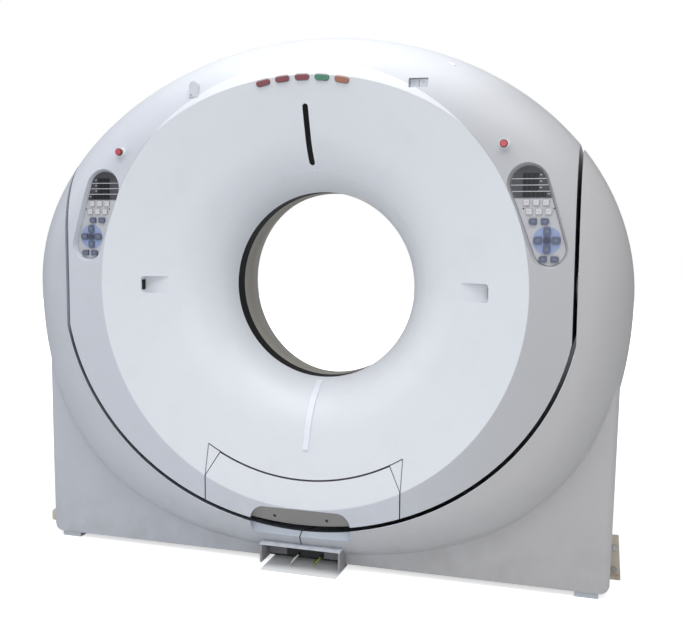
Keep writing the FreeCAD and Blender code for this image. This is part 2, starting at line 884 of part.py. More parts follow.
def lamp(angle, grow, y0, y1):
    half = (lamp_length - lamp_width) / 2.0
    end_r = lamp_width / 2.0
    pill = capsule((-half, lamp_radius, end_r), (half, lamp_radius, end_r), grow, y0, y1)
    return turned(pill, angle)


def status_lamps():
    front = -front_depth + lamp_set_back
    lenses = []
    for angle in lamp_angles():
        lens = lamp(angle, 0, front, front + lamp_thickness)
        rim = [e for e in lens.Edges if e.CenterOfMass.y < front + seam / 2.0]
        lenses.append(lens.makeFillet(lamp_edge, rim))
    return Part.makeCompound(lenses)


def socket_plates():
    x, z = by_the_rim(socket_rise, socket_angle)
    half = socket_height / 2.0 - socket_margin
    inner = socket_divider / 2.0
    outer = socket_width / 2.0 - socket_margin
    front = -socket_floor - socket_plate
    plates = []
    for left, right in ((x - outer, x - inner), (x + inner, x + outer)):
        plate = box(left, right, front, -socket_floor, z - half, z + half)
        hole = cyl_y(socket_hole_r, front - clear, front + socket_hole_depth, (left + right) / 2.0, z)
        plates.append(plate.cut(hole))
    return Part.makeCompound(plates)


def hook_tab(envelope):
    # bullet-shaped tab standing on the top shoulder, square at its foot
    x, z = by_the_rim(tab_rise, tab_angle)
    half = tab_width / 2.0
    foot = z - tab_foot
    body = capsule((x, z, half), (x, foot, half), 0.0, -front_depth + tab_set_back, 0)
    under = box(x - tab_width, x + tab_width, -front_depth, 0, foot - tab_width, foot)
    eye = cyl_y(tab_eye_r, -front_depth, 0, x - half + tab_eye_in, foot + tab_eye_up)
    return body.cut([under, eye, envelope])


def strip_cover():
    # flat strip that follows the funnel down from the lip
    band = front_flare(0).cut(front_flare(-strip_thickness))
    half = strip_width / 2.0
    foot = strip_foot_gap - panel_arc
    return band.common(box(-half, half, -front_depth, -strip_head_depth, foot, -aperture_radius))


def scan_window():
    return tube_y(aperture_radius, aperture_radius + window_wall, -window_half, window_half)


def bore_liner():
    liner = tube_y(aperture_radius, liner_outer, window_half, liner_end)
    for step in range(liner_grooves):
        y = window_half + groove_pitch * (step + 1)
        groove = tube_y(aperture_radius - clear, aperture_radius + groove_depth, y, y + groove_width)
        liner = liner.cut(groove)
    return liner


# ---- control panels and their keys ----

def key_places():
    # name, middle, size, and the side (X, Z) of the rounded end
    places = [("up", pad_x, pad_z + pad_step, key_size, arrow_long, (0, 1)),
              ("down", pad_x, pad_z - pad_step, key_size, arrow_long, (0, -1)),
              ("in", pad_x - pad_step, pad_z, arrow_long, key_size, (-1, 0)),
              ("out", pad_x + pad_step, pad_z, arrow_long, key_size, (1, 0)),
              ("home", pad_x, pad_z, key_size, home_height, (0, 0))]
    for name, inwards, z, end in (("a", letter_a_in, letter_high_z, -1), ("b", letter_b_in, letter_high_z, 1),
                                  ("c", letter_c_in, letter_low_z, -1), ("d", letter_d_in, letter_low_z, 1)):
        places.append((name, side_in - inwards, z, letter_width, letter_height, (end, 0)))
    return places


def key_block(x, z, width, height, end, grow, y0, y1):
    half_width = width / 2.0 + grow
    half_height = height / 2.0 + grow
    if end == (0, 0):
        return rounded_block(x - half_width, x + half_width, z - half_height, z + half_height,
                             key_corner + grow, y0, y1)
    full = rounded_block(x - half_width, x + half_width, z - half_height, z + half_height,
                         key_round + grow, y0, y1)
    # the other end is squarer: a second block covers that half
    back_x = -end[0] * half_width
    back_z = -end[1] * half_height
    x0, x1 = sorted((0, back_x)) if end[0] else (-half_width, half_width)
    z0, z1 = sorted((0, back_z)) if end[1] else (-half_height, half_height)
    back = rounded_block(x + x0, x + x1, z + z0, z + z1, key_corner + grow, y0, y1)
    return full.fuse(back).removeSplitter()


def key(x, z, width, height, end):
    back = -pocket_floor - key_travel - skin_gap
    return key_block(x, z, width, height, end, 0, -panel_face - key_height, back)


def control_panel():
    plate = panel_plate(panel_margin, -panel_face, -pocket_floor)
    plate = plate.fuse(cyl_y(pad_radius, -panel_face - pad_height, -panel_face, pad_x, pad_z))
    for inwards, z in ((white_high_in, white_high_z), (white_low_in, white_low_z)):
        for column in range(white_key_columns):
            x = side_in - inwards + column * white_key_pitch
            plate = plate.fuse(key_block(x, z, white_key_size, white_key_size, (0, 0), 0,
                                         -panel_face - white_key_height, -panel_face))
    for name, x, z, width, height, end in key_places():
        plate = plate.cut(key_block(x, z, width, height, end, skin_gap, -front_depth, 0))
    return plate


def display_window():
    front = -panel_face - display_thickness
    glass = panel_plate(display_margin, front, -panel_face)
    glass = glass.common(box(0, far, -front_depth, 0, display_foot, body_top))
    for row in range(display_rows):
        z = display_first - row * display_pitch
        width = display_width_long if row == display_rows - 1 else display_width
        half = display_height / 2.0
        glass = glass.fuse(box(display_left, display_left + width, front - seam, front, z - half, z + half))
    return glass


def stop_button():
    stop_x, stop_z = by_the_rim(stop_rise, stop_angle)
    head = cyl_y(stop_head_r, -stop_front, -stop_underside, stop_x, stop_z)
    rim = [e for e in head.Edges if e.CenterOfMass.y < -stop_front + seam / 2.0]
    head = head.makeFillet(stop_head_edge, rim)
    return head.fuse(cyl_y(stop_stem_r, -stop_underside, -stop_underside + stop_stem_length, stop_x, stop_z))


# ---- tilting body: structure and drive ----

def side_arm():
    outer = side_in - wall
    arm = box(arm_inner, outer, -arm_front, frame_rear, -arm_drop, arm_rise)
    bridge = box(frame_radius - bridge_width, outer, frame_front, frame_rear, -arm_drop, arm_rise)
    pin = cyl_x(trunnion_radius, outer - clear, trunnion_end)
    return arm.fuse([bridge, pin])


def tilt_frame():
    arm = side_arm()
    lug = box(pulley_x - lug_half_width, pulley_x + lug_half_width, frame_front, frame_rear,
              pulley_z - lug_half_height, pulley_z + lug_half_height)
    frame = tube_y(race_outer, frame_radius, frame_front, frame_rear)
    frame = frame.fuse([arm, mirrored(arm), lug]).removeSplitter()
    frame = frame.cut(cyl_y(motor_shaft_r + motor_shaft_clearance, frame_front - clear, frame_rear + clear,
                            pulley_x, pulley_z))
    for step in range(frame_holes):
        x, z = on_circle((race_outer + frame_radius) / 2.0, 360.0 * (step + 0.5) / frame_holes)
        frame = frame.cut(cyl_y(frame_hole_r, frame_front - clear, frame_rear + clear, x, z))
    return frame


def bearing_outer_race():
    race = tube_y(hub_outer + race_clearance, race_outer, frame_front - race_front, frame_rear - race_rear)
    middle = (race_rear + race_front) / 4.0
    centre = (frame_front - race_front + frame_rear - race_rear) / 2.0
    return race.cut(tube_y(hub_outer - clear, hub_outer + race_groove, centre - middle, centre + middle))


def drive_motor():
    rear = frame_rear + motor_length
    motor = cyl_y(motor_radius, frame_rear, rear, pulley_x, pulley_z)
    cap = cyl_y(motor_radius - motor_cap, rear, rear + motor_cap, pulley_x, pulley_z)
    low = pulley_z - motor_radius - terminal_drop
    terminals = box(pulley_x - terminal_half, pulley_x + terminal_half, frame_rear + terminal_start,
                    frame_rear + terminal_start + terminal_length, low, low + motor_radius)
    motor = motor.fuse([cap, terminals])
    return motor.cut(cyl_y(motor_shaft_r + running_fit, frame_rear - clear, frame_rear + motor_bore_depth,
                           pulley_x, pulley_z))


def motor_pulley():
    y0 = belt_front - pulley_side_gap
    y1 = belt_rear + pulley_side_gap
    wheel = cyl_y(pulley_radius, y0, y1, pulley_x, pulley_z)
    rim = pulley_radius + pulley_flange
    flanges = [cyl_y(rim, y0 - pulley_flange_width, y0, pulley_x, pulley_z),
               cyl_y(rim, y1, y1 + pulley_flange_width, pulley_x, pulley_z)]
    shaft = cyl_y(motor_shaft_r, belt_rear, frame_rear + motor_shaft_reach, pulley_x, pulley_z)
    return wheel.fuse(flanges + [shaft])


def belt_loop(grow, y0, y1):
    return capsule((0.0, 0.0, sheave_radius), (pulley_x, pulley_z, pulley_radius), grow, y0, y1)


def drive_belt():
    outer = belt_loop(skin_gap + belt_thickness, belt_front, belt_rear)
    return outer.cut(belt_loop(skin_gap, belt_front - clear, belt_rear + clear))


def brush_block():
    track = slip_radius + skin_gap
    block = box(-brush_half, brush_half, frame_rear, hub_end + brush_overhang, 0, slip_radius + brush_height)
    return block.cut(cyl_y(track, frame_rear - clear, hub_end + brush_overhang + clear))


def tooth(pitch, degrees):
    # one slim tooth as four (y, z) points, at an angle from the Y axis
    root = pitch - 1.15 * gear_module
    tip = pitch + 0.8 * gear_module
    half_pitch = math.pi * gear_module / 2.0
    root_half = math.degrees(0.52 * half_pitch / root)
    tip_half = math.degrees(0.20 * half_pitch / tip)
    return [on_circle(root, degrees - root_half), on_circle(tip, degrees - tip_half),
            on_circle(tip, degrees + tip_half), on_circle(root, degrees + root_half)]


def sector_gear():
    half = (sector_teeth - 1) / 2.0
    step = 180.0 * gear_module / sector_pitch
    points = []
    for index in range(sector_teeth):
        points += tooth(sector_pitch, (index - half) * step)
    end_radius = sector_pitch - 2.2 * gear_module
    end_angle = (half + 2.0 / 3.0) * step
    points.append(on_circle(end_radius, end_angle))
    points += [(-sector_web_front, sector_web_half), (-sector_web_front, -sector_web_half)]
    points.append(on_circle(end_radius, -end_angle))
    plate = prism_x(points, gear_inner, gear_outer)
    plate = plate.fuse(cyl_x(trunnion_radius + sector_hub_width, gear_inner, gear_outer))
    return plate.cut(cyl_x(trunnion_radius, gear_inner - clear, gear_outer + clear))


def tilt_pinion():
    points = []
    for index in range(pinion_teeth):
        points += tooth(pinion_pitch, (index + 0.5) * 360.0 / pinion_teeth)
    gear = prism_x([(y + pinion_y, z) for y, z in points], gear_inner + seam, gear_outer - seam)
    return gear.fuse(cyl_x(gear_shaft_r, gear_outer - wall, pylon_inner + motor_bore_depth, pinion_y))


# ---- rotor ----

def rotor_ring():
    disk = tube_y(liner_outer + rotor_bore_clearance, rotor_radius, disk_front, disk_rear)
    hub = tube_y(hub_inner, hub_outer, disk_rear - wall, hub_end)
    rim = tube_y(sheave_radius - sheave_width, sheave_radius, disk_rear - wall, sheave_end)
    ring = disk.fuse([hub, rim])
    middle = (hub_outer + sheave_radius - sheave_width) / 2.0
    hole_r = rotor_hole_share * (middle - hub_outer)
    for step in range(rotor_holes):
        x, z = on_circle(middle, 360.0 * (step + 0.5) / rotor_holes)
        ring = ring.cut(cyl_y(hole_r, disk_front - clear, disk_rear + clear, x, z))
    return ring


def slip_ring():
    ring = tube_y(hub_outer, slip_radius, hub_end - slip_thickness, hub_end)
    for step in range(slip_tracks):
        r = slip_radius - slip_track_pitch * (step + 1)
        ring = ring.cut(tube_y(r, r + slip_track_width, hub_end - slip_track_depth, hub_end + clear))
    return ring


def xray_tube():
    nose_front = -tube_front - tube_nose
    housing = cyl_y(tube_radius, -tube_front, disk_front, 0, tube_centre)
    nose = cyl_y(tube_radius - tube_nose_step, nose_front, -tube_front, 0, tube_centre)
    socket = box(-tube_socket_half, tube_socket_half, -tube_socket_reach, tube_socket_reach, tube_centre,
                 tube_centre + tube_radius + tube_socket_half)
    return housing.fuse([nose, socket])


def collimator():
    top = tube_centre - tube_radius
    block = box(-collimator_half, collimator_half, -collimator_front, disk_front,
                top - collimator_height, top)
    half = collimator_slot_width / 2.0
    slot = box(-collimator_slot_half, collimator_slot_half, -half, half, 0, tube_centre)
    return block.cut(slot)


def rotor_block(front):
    return rounded_block(-block_half, block_half, block_low, block_high, block_corner, -front, disk_front)


def hv_generator():
    block = rotor_block(generator_front)
    inner = block_half - rib_depth
    for step in range(rib_count):
        z = block_low + rib_start + rib_pitch * step
        for x0, x1 in ((-far, -inner), (inner, far)):
            block = block.cut(box(x0, x1, -generator_front + rib_start, disk_front - rib_start, z,
                                  z + rib_width))
    return turned(block, block_angle)


def counterweight():
    block = rotor_block(counterweight_front)
    middle = (block_low + block_high) / 2.0
    half = weight_recess_half / 2.0
    recess = box(-weight_recess_half, weight_recess_half, -far, -counterweight_front + weight_recess_depth,
                 middle - half, middle + half)
    return turned(block.cut(recess), -block_angle)


def detector_arc():
    outer = detector_inner + detector_height
    arc = tube_y(detector_inner, outer, -detector_front, disk_front)
    side, drop = on_circle(rotor_radius, 90.0 - detector_half_angle)
    wedge = prism_y([(0, 0), (-side, -drop), (0, -far), (side, -drop)], -detector_front - clear,
                    disk_front + clear)
    arc = arc.common(wedge)
    arc = arc.cut(tube_y(detector_inner - clear, detector_inner + detector_window, -detector_window_half,
                         detector_window_half))
    modules = []
    for step in range(module_count):
        module = box(-module_half, module_half, -detector_front + module_inset, disk_front,
                     -outer - module_height + wall, -outer + wall)
        modules.append(turned(module, module_pitch * (step - (module_count - 1) / 2.0)))
    return arc.fuse(modules)


# ---- stand ----

def stand_slab(inset):
    top = stand_half_width_top - inset
    foot = stand_half_width_foot - inset
    z1 = stand_top - inset
    z0 = floor_z + cover_lift + inset
    y0 = -stand_front + inset
    y1 = rear_depth - inset
    slab = prism_y([(-foot, z0), (foot, z0), (top, z1), (-top, z1)], y0, y1)
    low = [e for e in edges_along(slab, Y) if e.CenterOfMass.z < z0 + clear]
    slab = slab.makeFillet(stand_corner_radius - inset, low)
    plan = box(-top, top, y0, y1, z0 - clear, z1 + clear)
    return slab.common(plan.makeFillet(stand_edge_rounding - inset, edges_along(plan, Z)))


def stand_body(inset):
    return body_envelope(inset, rear_depth).fuse(stand_slab(inset))


def swept_room(depth, grow):
    # what an edge of the tilting body at that depth sweeps, with the gap added
    drop = arc_drop + half_gap
    across = math.hypot(depth, drop)
    along = across * (arc_half_width + half_gap) / drop
    curve = Part.Ellipse(v(along + grow, 0, 0), v(0, across + grow, 0), v(0, 0, 0)).toShape(0, math.pi)
    chord = Part.makeLine(v(-along - grow, 0, 0), v(along + grow, 0, 0))
    return Part.Face(Part.Wire([curve, chord])).revolve(v(0, 0, 0), X, 360)


def rear_sweep(grow):
    swing = swing_radius + rear_clearance + grow
    return swept_room(tilting_rear + rear_clearance, grow).common(cyl_x(swing, -far, far))


def rear_room(grow):
    return room_between_cheeks(grow, rear_sweep(grow))


def front_room(grow):
    # at full tilt the rear edge swings forward as far as sweep_front
    rear_part = rear_sweep(grow).common(box(-far, far, sweep_front - grow, far, -far, 0))
    return room_between_cheeks(grow, swept_room(front_depth, grow).fuse(rear_part))


def room_between_cheeks(grow, low):
    half_width = side_out + grow
    below = box(-half_width, half_width, -far, far, -far, 0).common(low)
    above = box(-half_width, half_width, -far, far, 0, far)
    return below.fuse(above).removeSplitter()


def foot_opening():
    # the covers are open below, inside their rounded bottom corners
    return box(-foot_inner, foot_inner, -stand_front + wall, rear_depth - wall, floor_z,
               floor_z + cover_lift + wall)


def stand_shell(solid, hollow, room, y0, y1):
    # cover between the outer skin and the room; each cheek's inner wall is
    # left away from y0 to y1, so that only its return lip and its top stay
    grown = side_out + wall + seam
    cover = solid.cut(room(0)).cut(hollow.cut(room(wall)))
    sides = [box(-grown, -side_out, y0, y1, -far, cheek_wall_top),
             box(side_out, grown, y0, y1, -far, cheek_wall_top)]
    inner = room(wall + seam)
    return cover.cut([side.common(inner) for side in sides]).cut(foot_opening())


def stand_covers(parts):
    solid = stand_body(0)
    hollow = stand_body(wall)
    front = stand_shell(solid, hollow, front_room, -front_depth + lip_depth, far)
    front = front.common(box(-far, far, -far, cover_split, -far, far))
    front = walled(front, solid.cut(front_room(0)), scoop(wall), scoop(0))
    hood_inner = hood_half - hood_wall
    front = front.cut(box(-hood_inner, hood_inner, -far, front_beam_y, floor_z,
                          floor_z + hood_height - hood_wall))
    parts["stand_cover_left"] = front.common(box(-far, -seam / 2.0, -far, far, -far, far))
    parts["stand_cover_right"] = front.common(box(seam / 2.0, far, -far, far, -far, far))
    rear = stand_shell(solid, hollow, rear_room, -far, rear_depth - lip_depth)
    rear = rear.cut(box(-seam / 2.0, seam / 2.0, 0, far, -far, far))
    parts["rear_stand_cover"] = rear.common(box(-far, far, cover_split + seam, far, -far, far))


def base_frame():
    z1 = floor_z + beam_height
    beam = box(beam_inner, beam_outer, -far, far, floor_z, z1)
    front = box(-beam_inner, beam_inner, front_beam_y, front_beam_y + beam_depth, floor_z, z1)
    rear = box(-beam_inner, beam_inner, rear_beam_y, rear_beam_y + beam_depth, floor_z, z1)
    frame = beam.fuse([mirrored(beam), front, rear]).removeSplitter()
    frame = frame.common(stand_slab(wall).fuse(foot_opening())).removeSplitter()
    for x in (-anchor_x, anchor_x):
        for y in (anchor_front_back - stand_front, rear_depth - anchor_rear_back):
            frame = frame.cut(cyl_z(anchor_hole_r, floor_z - clear, z1 + clear, x, y))
    return frame


def side_pylons():
    z0 = floor_z + beam_height
    inside = pylon_plate
    post = box(pylon_inner, beam_outer, -pylon_front, pylon_rear, z0, pylon_top)
    room = box(pylon_inner + inside, far, -pylon_front + inside, pylon_rear - inside, z0 + inside,
               pylon_top - inside)
    post = post.cut([room, cyl_x(bearing_outer, pylon_inner - clear, far)])
    rib = box(pylon_inner, beam_outer, -pylon_front, pylon_rear, -rib_drop, -rib_drop + pylon_plate)
    post = post.fuse(rib)
    shaft_hole = cyl_x(gear_shaft_r + shaft_clearance, pylon_inner - clear, pylon_inner + pylon_plate + clear,
                       pinion_y)
    return Part.makeCompound([post.cut(shaft_hole), mirrored(post)])


def tilt_bearings():
    bore = trunnion_radius + running_fit
    flange = tube_x(bore, bearing_flange, bearing_start, pylon_inner)
    return both_sides(flange.fuse(tube_x(bore, bearing_outer, pylon_inner, pylon_inner + bearing_length)))


def tilt_motor():
    x0 = pylon_inner + pylon_plate
    body = cyl_x(tilt_motor_r, x0, x0 + tilt_motor_length, pinion_y)
    gearbox = box(x0, x0 + gearbox_width, pinion_y - gearbox_half, pinion_y + gearbox_half,
                  -rib_drop + pylon_plate, -gearbox_top_drop)
    bore = cyl_x(gear_shaft_r + running_fit, x0 - clear, pylon_inner + motor_bore_depth + seam, pinion_y)
    return body.fuse(gearbox).cut(bore)


def cable_hood():
    top = floor_z + hood_height
    low = floor_z + cover_lift
    inner_top = top - hood_wall
    inner_half = hood_half - hood_wall
    outer = box(-hood_half, hood_half, -hood_front, -stand_front, low, top)
    hollow = box(-inner_half, inner_half, -far, far, low - clear, inner_top)
    return outer.cut([hollow, stand_body(0)])


def hood_connectors():
    # two plug bodies on the front beam, in a plate that closes the hood's back
    high = floor_z + connector_high
    front = front_beam_y - connector_depth
    face = front + plate_set_back
    half = hood_half - 2 * hood_wall
    plate = box(-half, half, face, face + connector_plate, floor_z + plate_low, high)
    plugs = [box(x0, x1, front, front_beam_y, floor_z + connector_low, high) for x0, x1 in
             (left_connector, right_connector)]
    return plate.fuse(plugs)


def cable(name, points, radius):
    # straight runs joined by tangent arcs, swept with a round section
    corners = [v(*p) for p in points]
    edges = []
    bends = []
    last = corners[0]
    for before, here, after in zip(corners, corners[1:], corners[2:]):
        back = before - here
        ahead = after - here
        turn = math.pi - back.getAngle(ahead)
        setback = 0.45 * min(back.Length, ahead.Length)
        bend = setback / math.tan(turn / 2.0)
        start = here + back.normalize() * setback
        end = here + ahead.normalize() * setback
        inward = (back + ahead).normalize()
        middle = here + inward * (bend / math.cos(turn / 2.0) - bend)
        edges.append(Part.makeLine(last, start))
        edges.append(Part.Arc(start, middle, end).toShape())
        bends.append(round(bend, 1))
        last = end
    edges.append(Part.makeLine(last, corners[-1]))
    path = Part.Wire(edges)
    section = Part.Wire(Part.makeCircle(radius, corners[0], corners[1] - corners[0]))
    solid = path.makePipeShell([section], True, False)
    share = solid.Volume / (math.pi * radius ** 2 * path.Length)
    print(name, "length", round(path.Length, 1), "bend radii", bends, "volume ratio", round(share, 4))
    return solid


def routed(start_x, run):
    # a cable's route from its connector's front, in steps of one run of X,
    # distance in front of the connector and height; it ends at the front beam
    steps = ((0, 0, 0), (0, 1, 0), (-0.6, 1.5, -0.7), (-1.2, 0.9, -1.5), (-1.6, -0.2, -1.9),
             (-1.7, -1.4, -1.8))
    front = front_beam_y - connector_depth
    start_z = floor_z + cable_height
    route = [(start_x + dx * run, front - dy * run, start_z + dz * run) for dx, dy, dz in steps]
    end_x, end_y, end_z = route[-1]
    return route + [(end_x, front_beam_y, end_z)]


def hood_cables():
    white = cable("white cable", routed(white_cable_x, white_cable_run), white_cable_r)
    earth = cable("earth cable", routed(earth_cable_x, earth_cable_run), earth_cable_r)
    return Part.makeCompound([white, earth])


def bracket_bolt_heights():
    return floor_z + bracket_bolt_low, floor_z + bracket_bolt_high


def anchor_brackets():
    lean = (stand_half_width_top - stand_half_width_foot) * bracket_height / (stand_top - floor_z)
    inner = stand_half_width_foot + lean + bracket_clearance
    high = floor_z + bracket_height
    foot = box(foot_inner, bracket_out, -bracket_foot_front, bracket_foot_rear, floor_z,
               floor_z + bracket_foot)
    plate = prism_y([(inner, floor_z), (bracket_out, floor_z), (bracket_out - bracket_taper, high),
                     (inner, high)], 0, bracket_plate)
    bracket = foot.fuse(plate)
    for z in bracket_bolt_heights():
        bracket = bracket.cut(cyl_y(bolt_r, -clear, bracket_plate + clear, bracket_bolt_x, z))
    anchor_hole = cyl_z(bolt_r, floor_z - clear, floor_z + clear, bracket_bolt_x, bracket_hole_y)
    return both_sides(bracket.cut(anchor_hole))


def hex_block(x, z, y0, y1):
    corners = [on_circle(bolt_head_r, 60.0 * step) for step in range(6)]
    return prism_y([(x + dx, z + dz) for dx, dz in corners], y0, y1)


def anchor_bolts():
    bolts = []
    for z in bracket_bolt_heights():
        shank = cyl_y(bolt_r - skin_gap, -bolt_head_height, bracket_plate + bolt_spare, bracket_bolt_x, z)
        head = hex_block(bracket_bolt_x, z, -bolt_head_height, 0)
        nut = hex_block(bracket_bolt_x, z, bracket_plate, bracket_plate + bolt_nut_height)
        bolts.append(both_sides(shank.fuse([head, nut])))
    return Part.makeCompound(bolts)


def sided_pieces(parts):
    for side, place in (("right", lambda shape: shape), ("left", mirrored)):
        parts["stop_button_" + side] = place(stop_button())
        for name, x, z, width, height, end in key_places():
            parts["key_" + name + "_" + side] = place(key(x, z, width, height, end))


def all_pieces():
    parts = {}
    pieces_of_tilting_covers(parts)
    stand_covers(parts)
    sided_pieces(parts)
    for make in (base_frame, side_pylons, tilt_bearings, tilt_motor, tilt_pinion, cable_hood, hood_connectors,
                 hood_cables, anchor_brackets, anchor_bolts, tilt_frame, sector_gear, bearing_outer_race,
                 drive_motor, motor_pulley, drive_belt, brush_block, scan_window, bore_liner, laser_windows,
                 status_lamps, socket_plates, strip_cover, rotor_ring, slip_ring, xray_tube, collimator,
                 hv_generator, counterweight, detector_arc):
        parts[make.__name__] = make()
    parts["hook_tab"] = hook_tab(tilting_envelope(0))
    parts["control_panels"] = both_sides(control_panel())
    parts["display_windows"] = both_sides(display_window())
    return parts


def main():
    os.makedirs("parts", exist_ok=True)
    to_floor = v(0, -base_y, axis_height)
    parts = all_pieces()
    for name, shape in parts.items():
        shape = shape.copy()
        shape.translate(to_floor)
        if not shape.isValid() or not shape.Solids:
            print("not a valid solid:", name)
        shape.exportStep("parts/" + name + ".step")
    print(len(parts), "pieces")


main()
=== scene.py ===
import math

import bpy
import bmesh
from mathutils import Matrix, Vector


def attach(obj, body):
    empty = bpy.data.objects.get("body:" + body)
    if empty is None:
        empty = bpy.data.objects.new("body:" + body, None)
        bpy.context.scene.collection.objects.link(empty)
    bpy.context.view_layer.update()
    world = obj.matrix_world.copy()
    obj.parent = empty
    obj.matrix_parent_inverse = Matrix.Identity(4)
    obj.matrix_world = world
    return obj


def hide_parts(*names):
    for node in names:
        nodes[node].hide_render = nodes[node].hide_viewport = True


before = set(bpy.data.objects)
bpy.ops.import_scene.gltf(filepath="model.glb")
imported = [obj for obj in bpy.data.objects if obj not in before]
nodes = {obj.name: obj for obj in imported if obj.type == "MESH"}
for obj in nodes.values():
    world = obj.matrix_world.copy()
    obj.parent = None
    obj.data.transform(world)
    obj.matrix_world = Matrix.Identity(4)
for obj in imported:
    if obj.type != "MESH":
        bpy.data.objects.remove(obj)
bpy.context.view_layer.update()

isocentre = {"back": -0.156, "height": 1.050}  # where the bore axis meets the scan plane, metres
print("frame loaded:", len(nodes), "nodes")


def place(x, y, z):
    # millimetres about the isocentre to metres on the floor
    return Vector((x / 1000, y / 1000 + isocentre["back"], z / 1000 + isocentre["height"]))


def tone(red, green, blue):
    # a colour given 0 to 255, as linear light
    levels = [c / 255 for c in (red, green, blue)]
    return [c / 12.92 if c < 0.04045 else ((c + 0.055) / 1.055) ** 2.4 for c in levels] + [1.0]


# camera at the photograph's angle
cameraPlace = {
    "eye": (1.0633, -3.4648, 1.2541),
    "right": (0.95701, 0.28998, 0.00684),
    "up": (-0.03494, 0.09185, 0.99516),
    "ahead": (-0.28795, 0.95261, -0.09803),
    "lens": 46.62,
    "sensor": 36,
    "farthest": 60,
}
cameraData = bpy.data.cameras.new("frontCamera")
cameraData.lens = cameraPlace["lens"]
cameraData.sensor_width = cameraPlace["sensor"]
cameraData.clip_end = cameraPlace["farthest"]
camera = bpy.data.objects.new("frontCamera", cameraData)
bpy.context.collection.objects.link(camera)
facing = Matrix([cameraPlace["right"], cameraPlace["up"], [-c for c in cameraPlace["ahead"]]]).transposed()
camera.matrix_world = Matrix.Translation(cameraPlace["eye"]) @ facing.to_4x4()
bpy.context.scene.camera = camera


# the two short cables inside the hood, on the same route points as their solids
hoodCables = {
    "whiteHoodCable": {
        "route": [(-0.020, -0.411, 0.0475), (-0.020, -0.4335, 0.0475), (-0.0335, -0.44475, 0.03175),
                  (-0.047, -0.43125, 0.01375), (-0.056, -0.4065, 0.00475), (-0.05825, -0.3795, 0.007),
                  (-0.05825, -0.326, 0.007)],
        "thick": 0.0056, "length": 0.176, "stiffness": "medium"},
    "earthHoodCable": {
        "route": [(0.068, -0.411, 0.0475), (0.068, -0.431, 0.0475), (0.056, -0.441, 0.0335),
                  (0.044, -0.429, 0.0175), (0.036, -0.407, 0.0095), (0.034, -0.383, 0.0115),
                  (0.034, -0.326, 0.0115)],
        "thick": 0.005, "length": 0.166, "stiffness": "medium"},
}
cableSteps = {"around": 5, "along": 12}
cables = {}
for name, cable in hoodCables.items():
    curve = bpy.data.curves.new(name, "CURVE")
    curve.dimensions = "3D"
    curve.bevel_depth = cable["thick"] / 2
    curve.bevel_resolution = cableSteps["around"]
    curve.use_fill_caps = True
    spline = curve.splines.new("NURBS")
    spline.points.add(len(cable["route"]) - 1)
    for point, spot in zip(spline.points, cable["route"]):
        point.co = (*spot, 1)
    spline.order_u = 3
    spline.use_endpoint_u = True
    spline.resolution_u = cableSteps["along"]
    cables[name] = bpy.data.objects.new(name, curve)
    bpy.context.collection.objects.link(cables[name])
    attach(cables[name], "stand")
    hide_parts("hood_cables")
print("camera and cables placed")


class Wire:
    # one socket of a material, used in plain sums
    def __init__(self, paint, socket):
        self.paint = paint
        self.socket = socket

    def __add__(self, other):
        return self.paint.maths("ADD", self, other)

    def __radd__(self, other):
        return self.paint.maths("ADD", other, self)

    def __sub__(self, other):
        return self.paint.maths("SUBTRACT", self, other)

    def __rsub__(self, other):
        return self.paint.maths("SUBTRACT", other, self)

    def __mul__(self, other):
        return self.paint.maths("MULTIPLY", self, other)

    def __rmul__(self, other):
        return self.paint.maths("MULTIPLY", other, self)

    def __pow__(self, other):
        return self.paint.maths("POWER", self, other)

    def __gt__(self, other):
        return self.paint.maths("GREATER_THAN", self, other)

    def __lt__(self, other):
        return self.paint.maths("LESS_THAN", self, other)

    def __abs__(self):
        return self.paint.maths("ABSOLUTE", self)

    def ramp(self, low, high, fromValue=0.0, toValue=1.0):
        # from one value to another, smoothly, as the wire goes from low to high
        return self.paint.node("ShaderNodeMapRange", {"interpolation_type": "SMOOTHSTEP", "clamp": True},
                               {"Value": self, "From Min": low, "From Max": high,
                                "To Min": fromValue, "To Max": toValue})


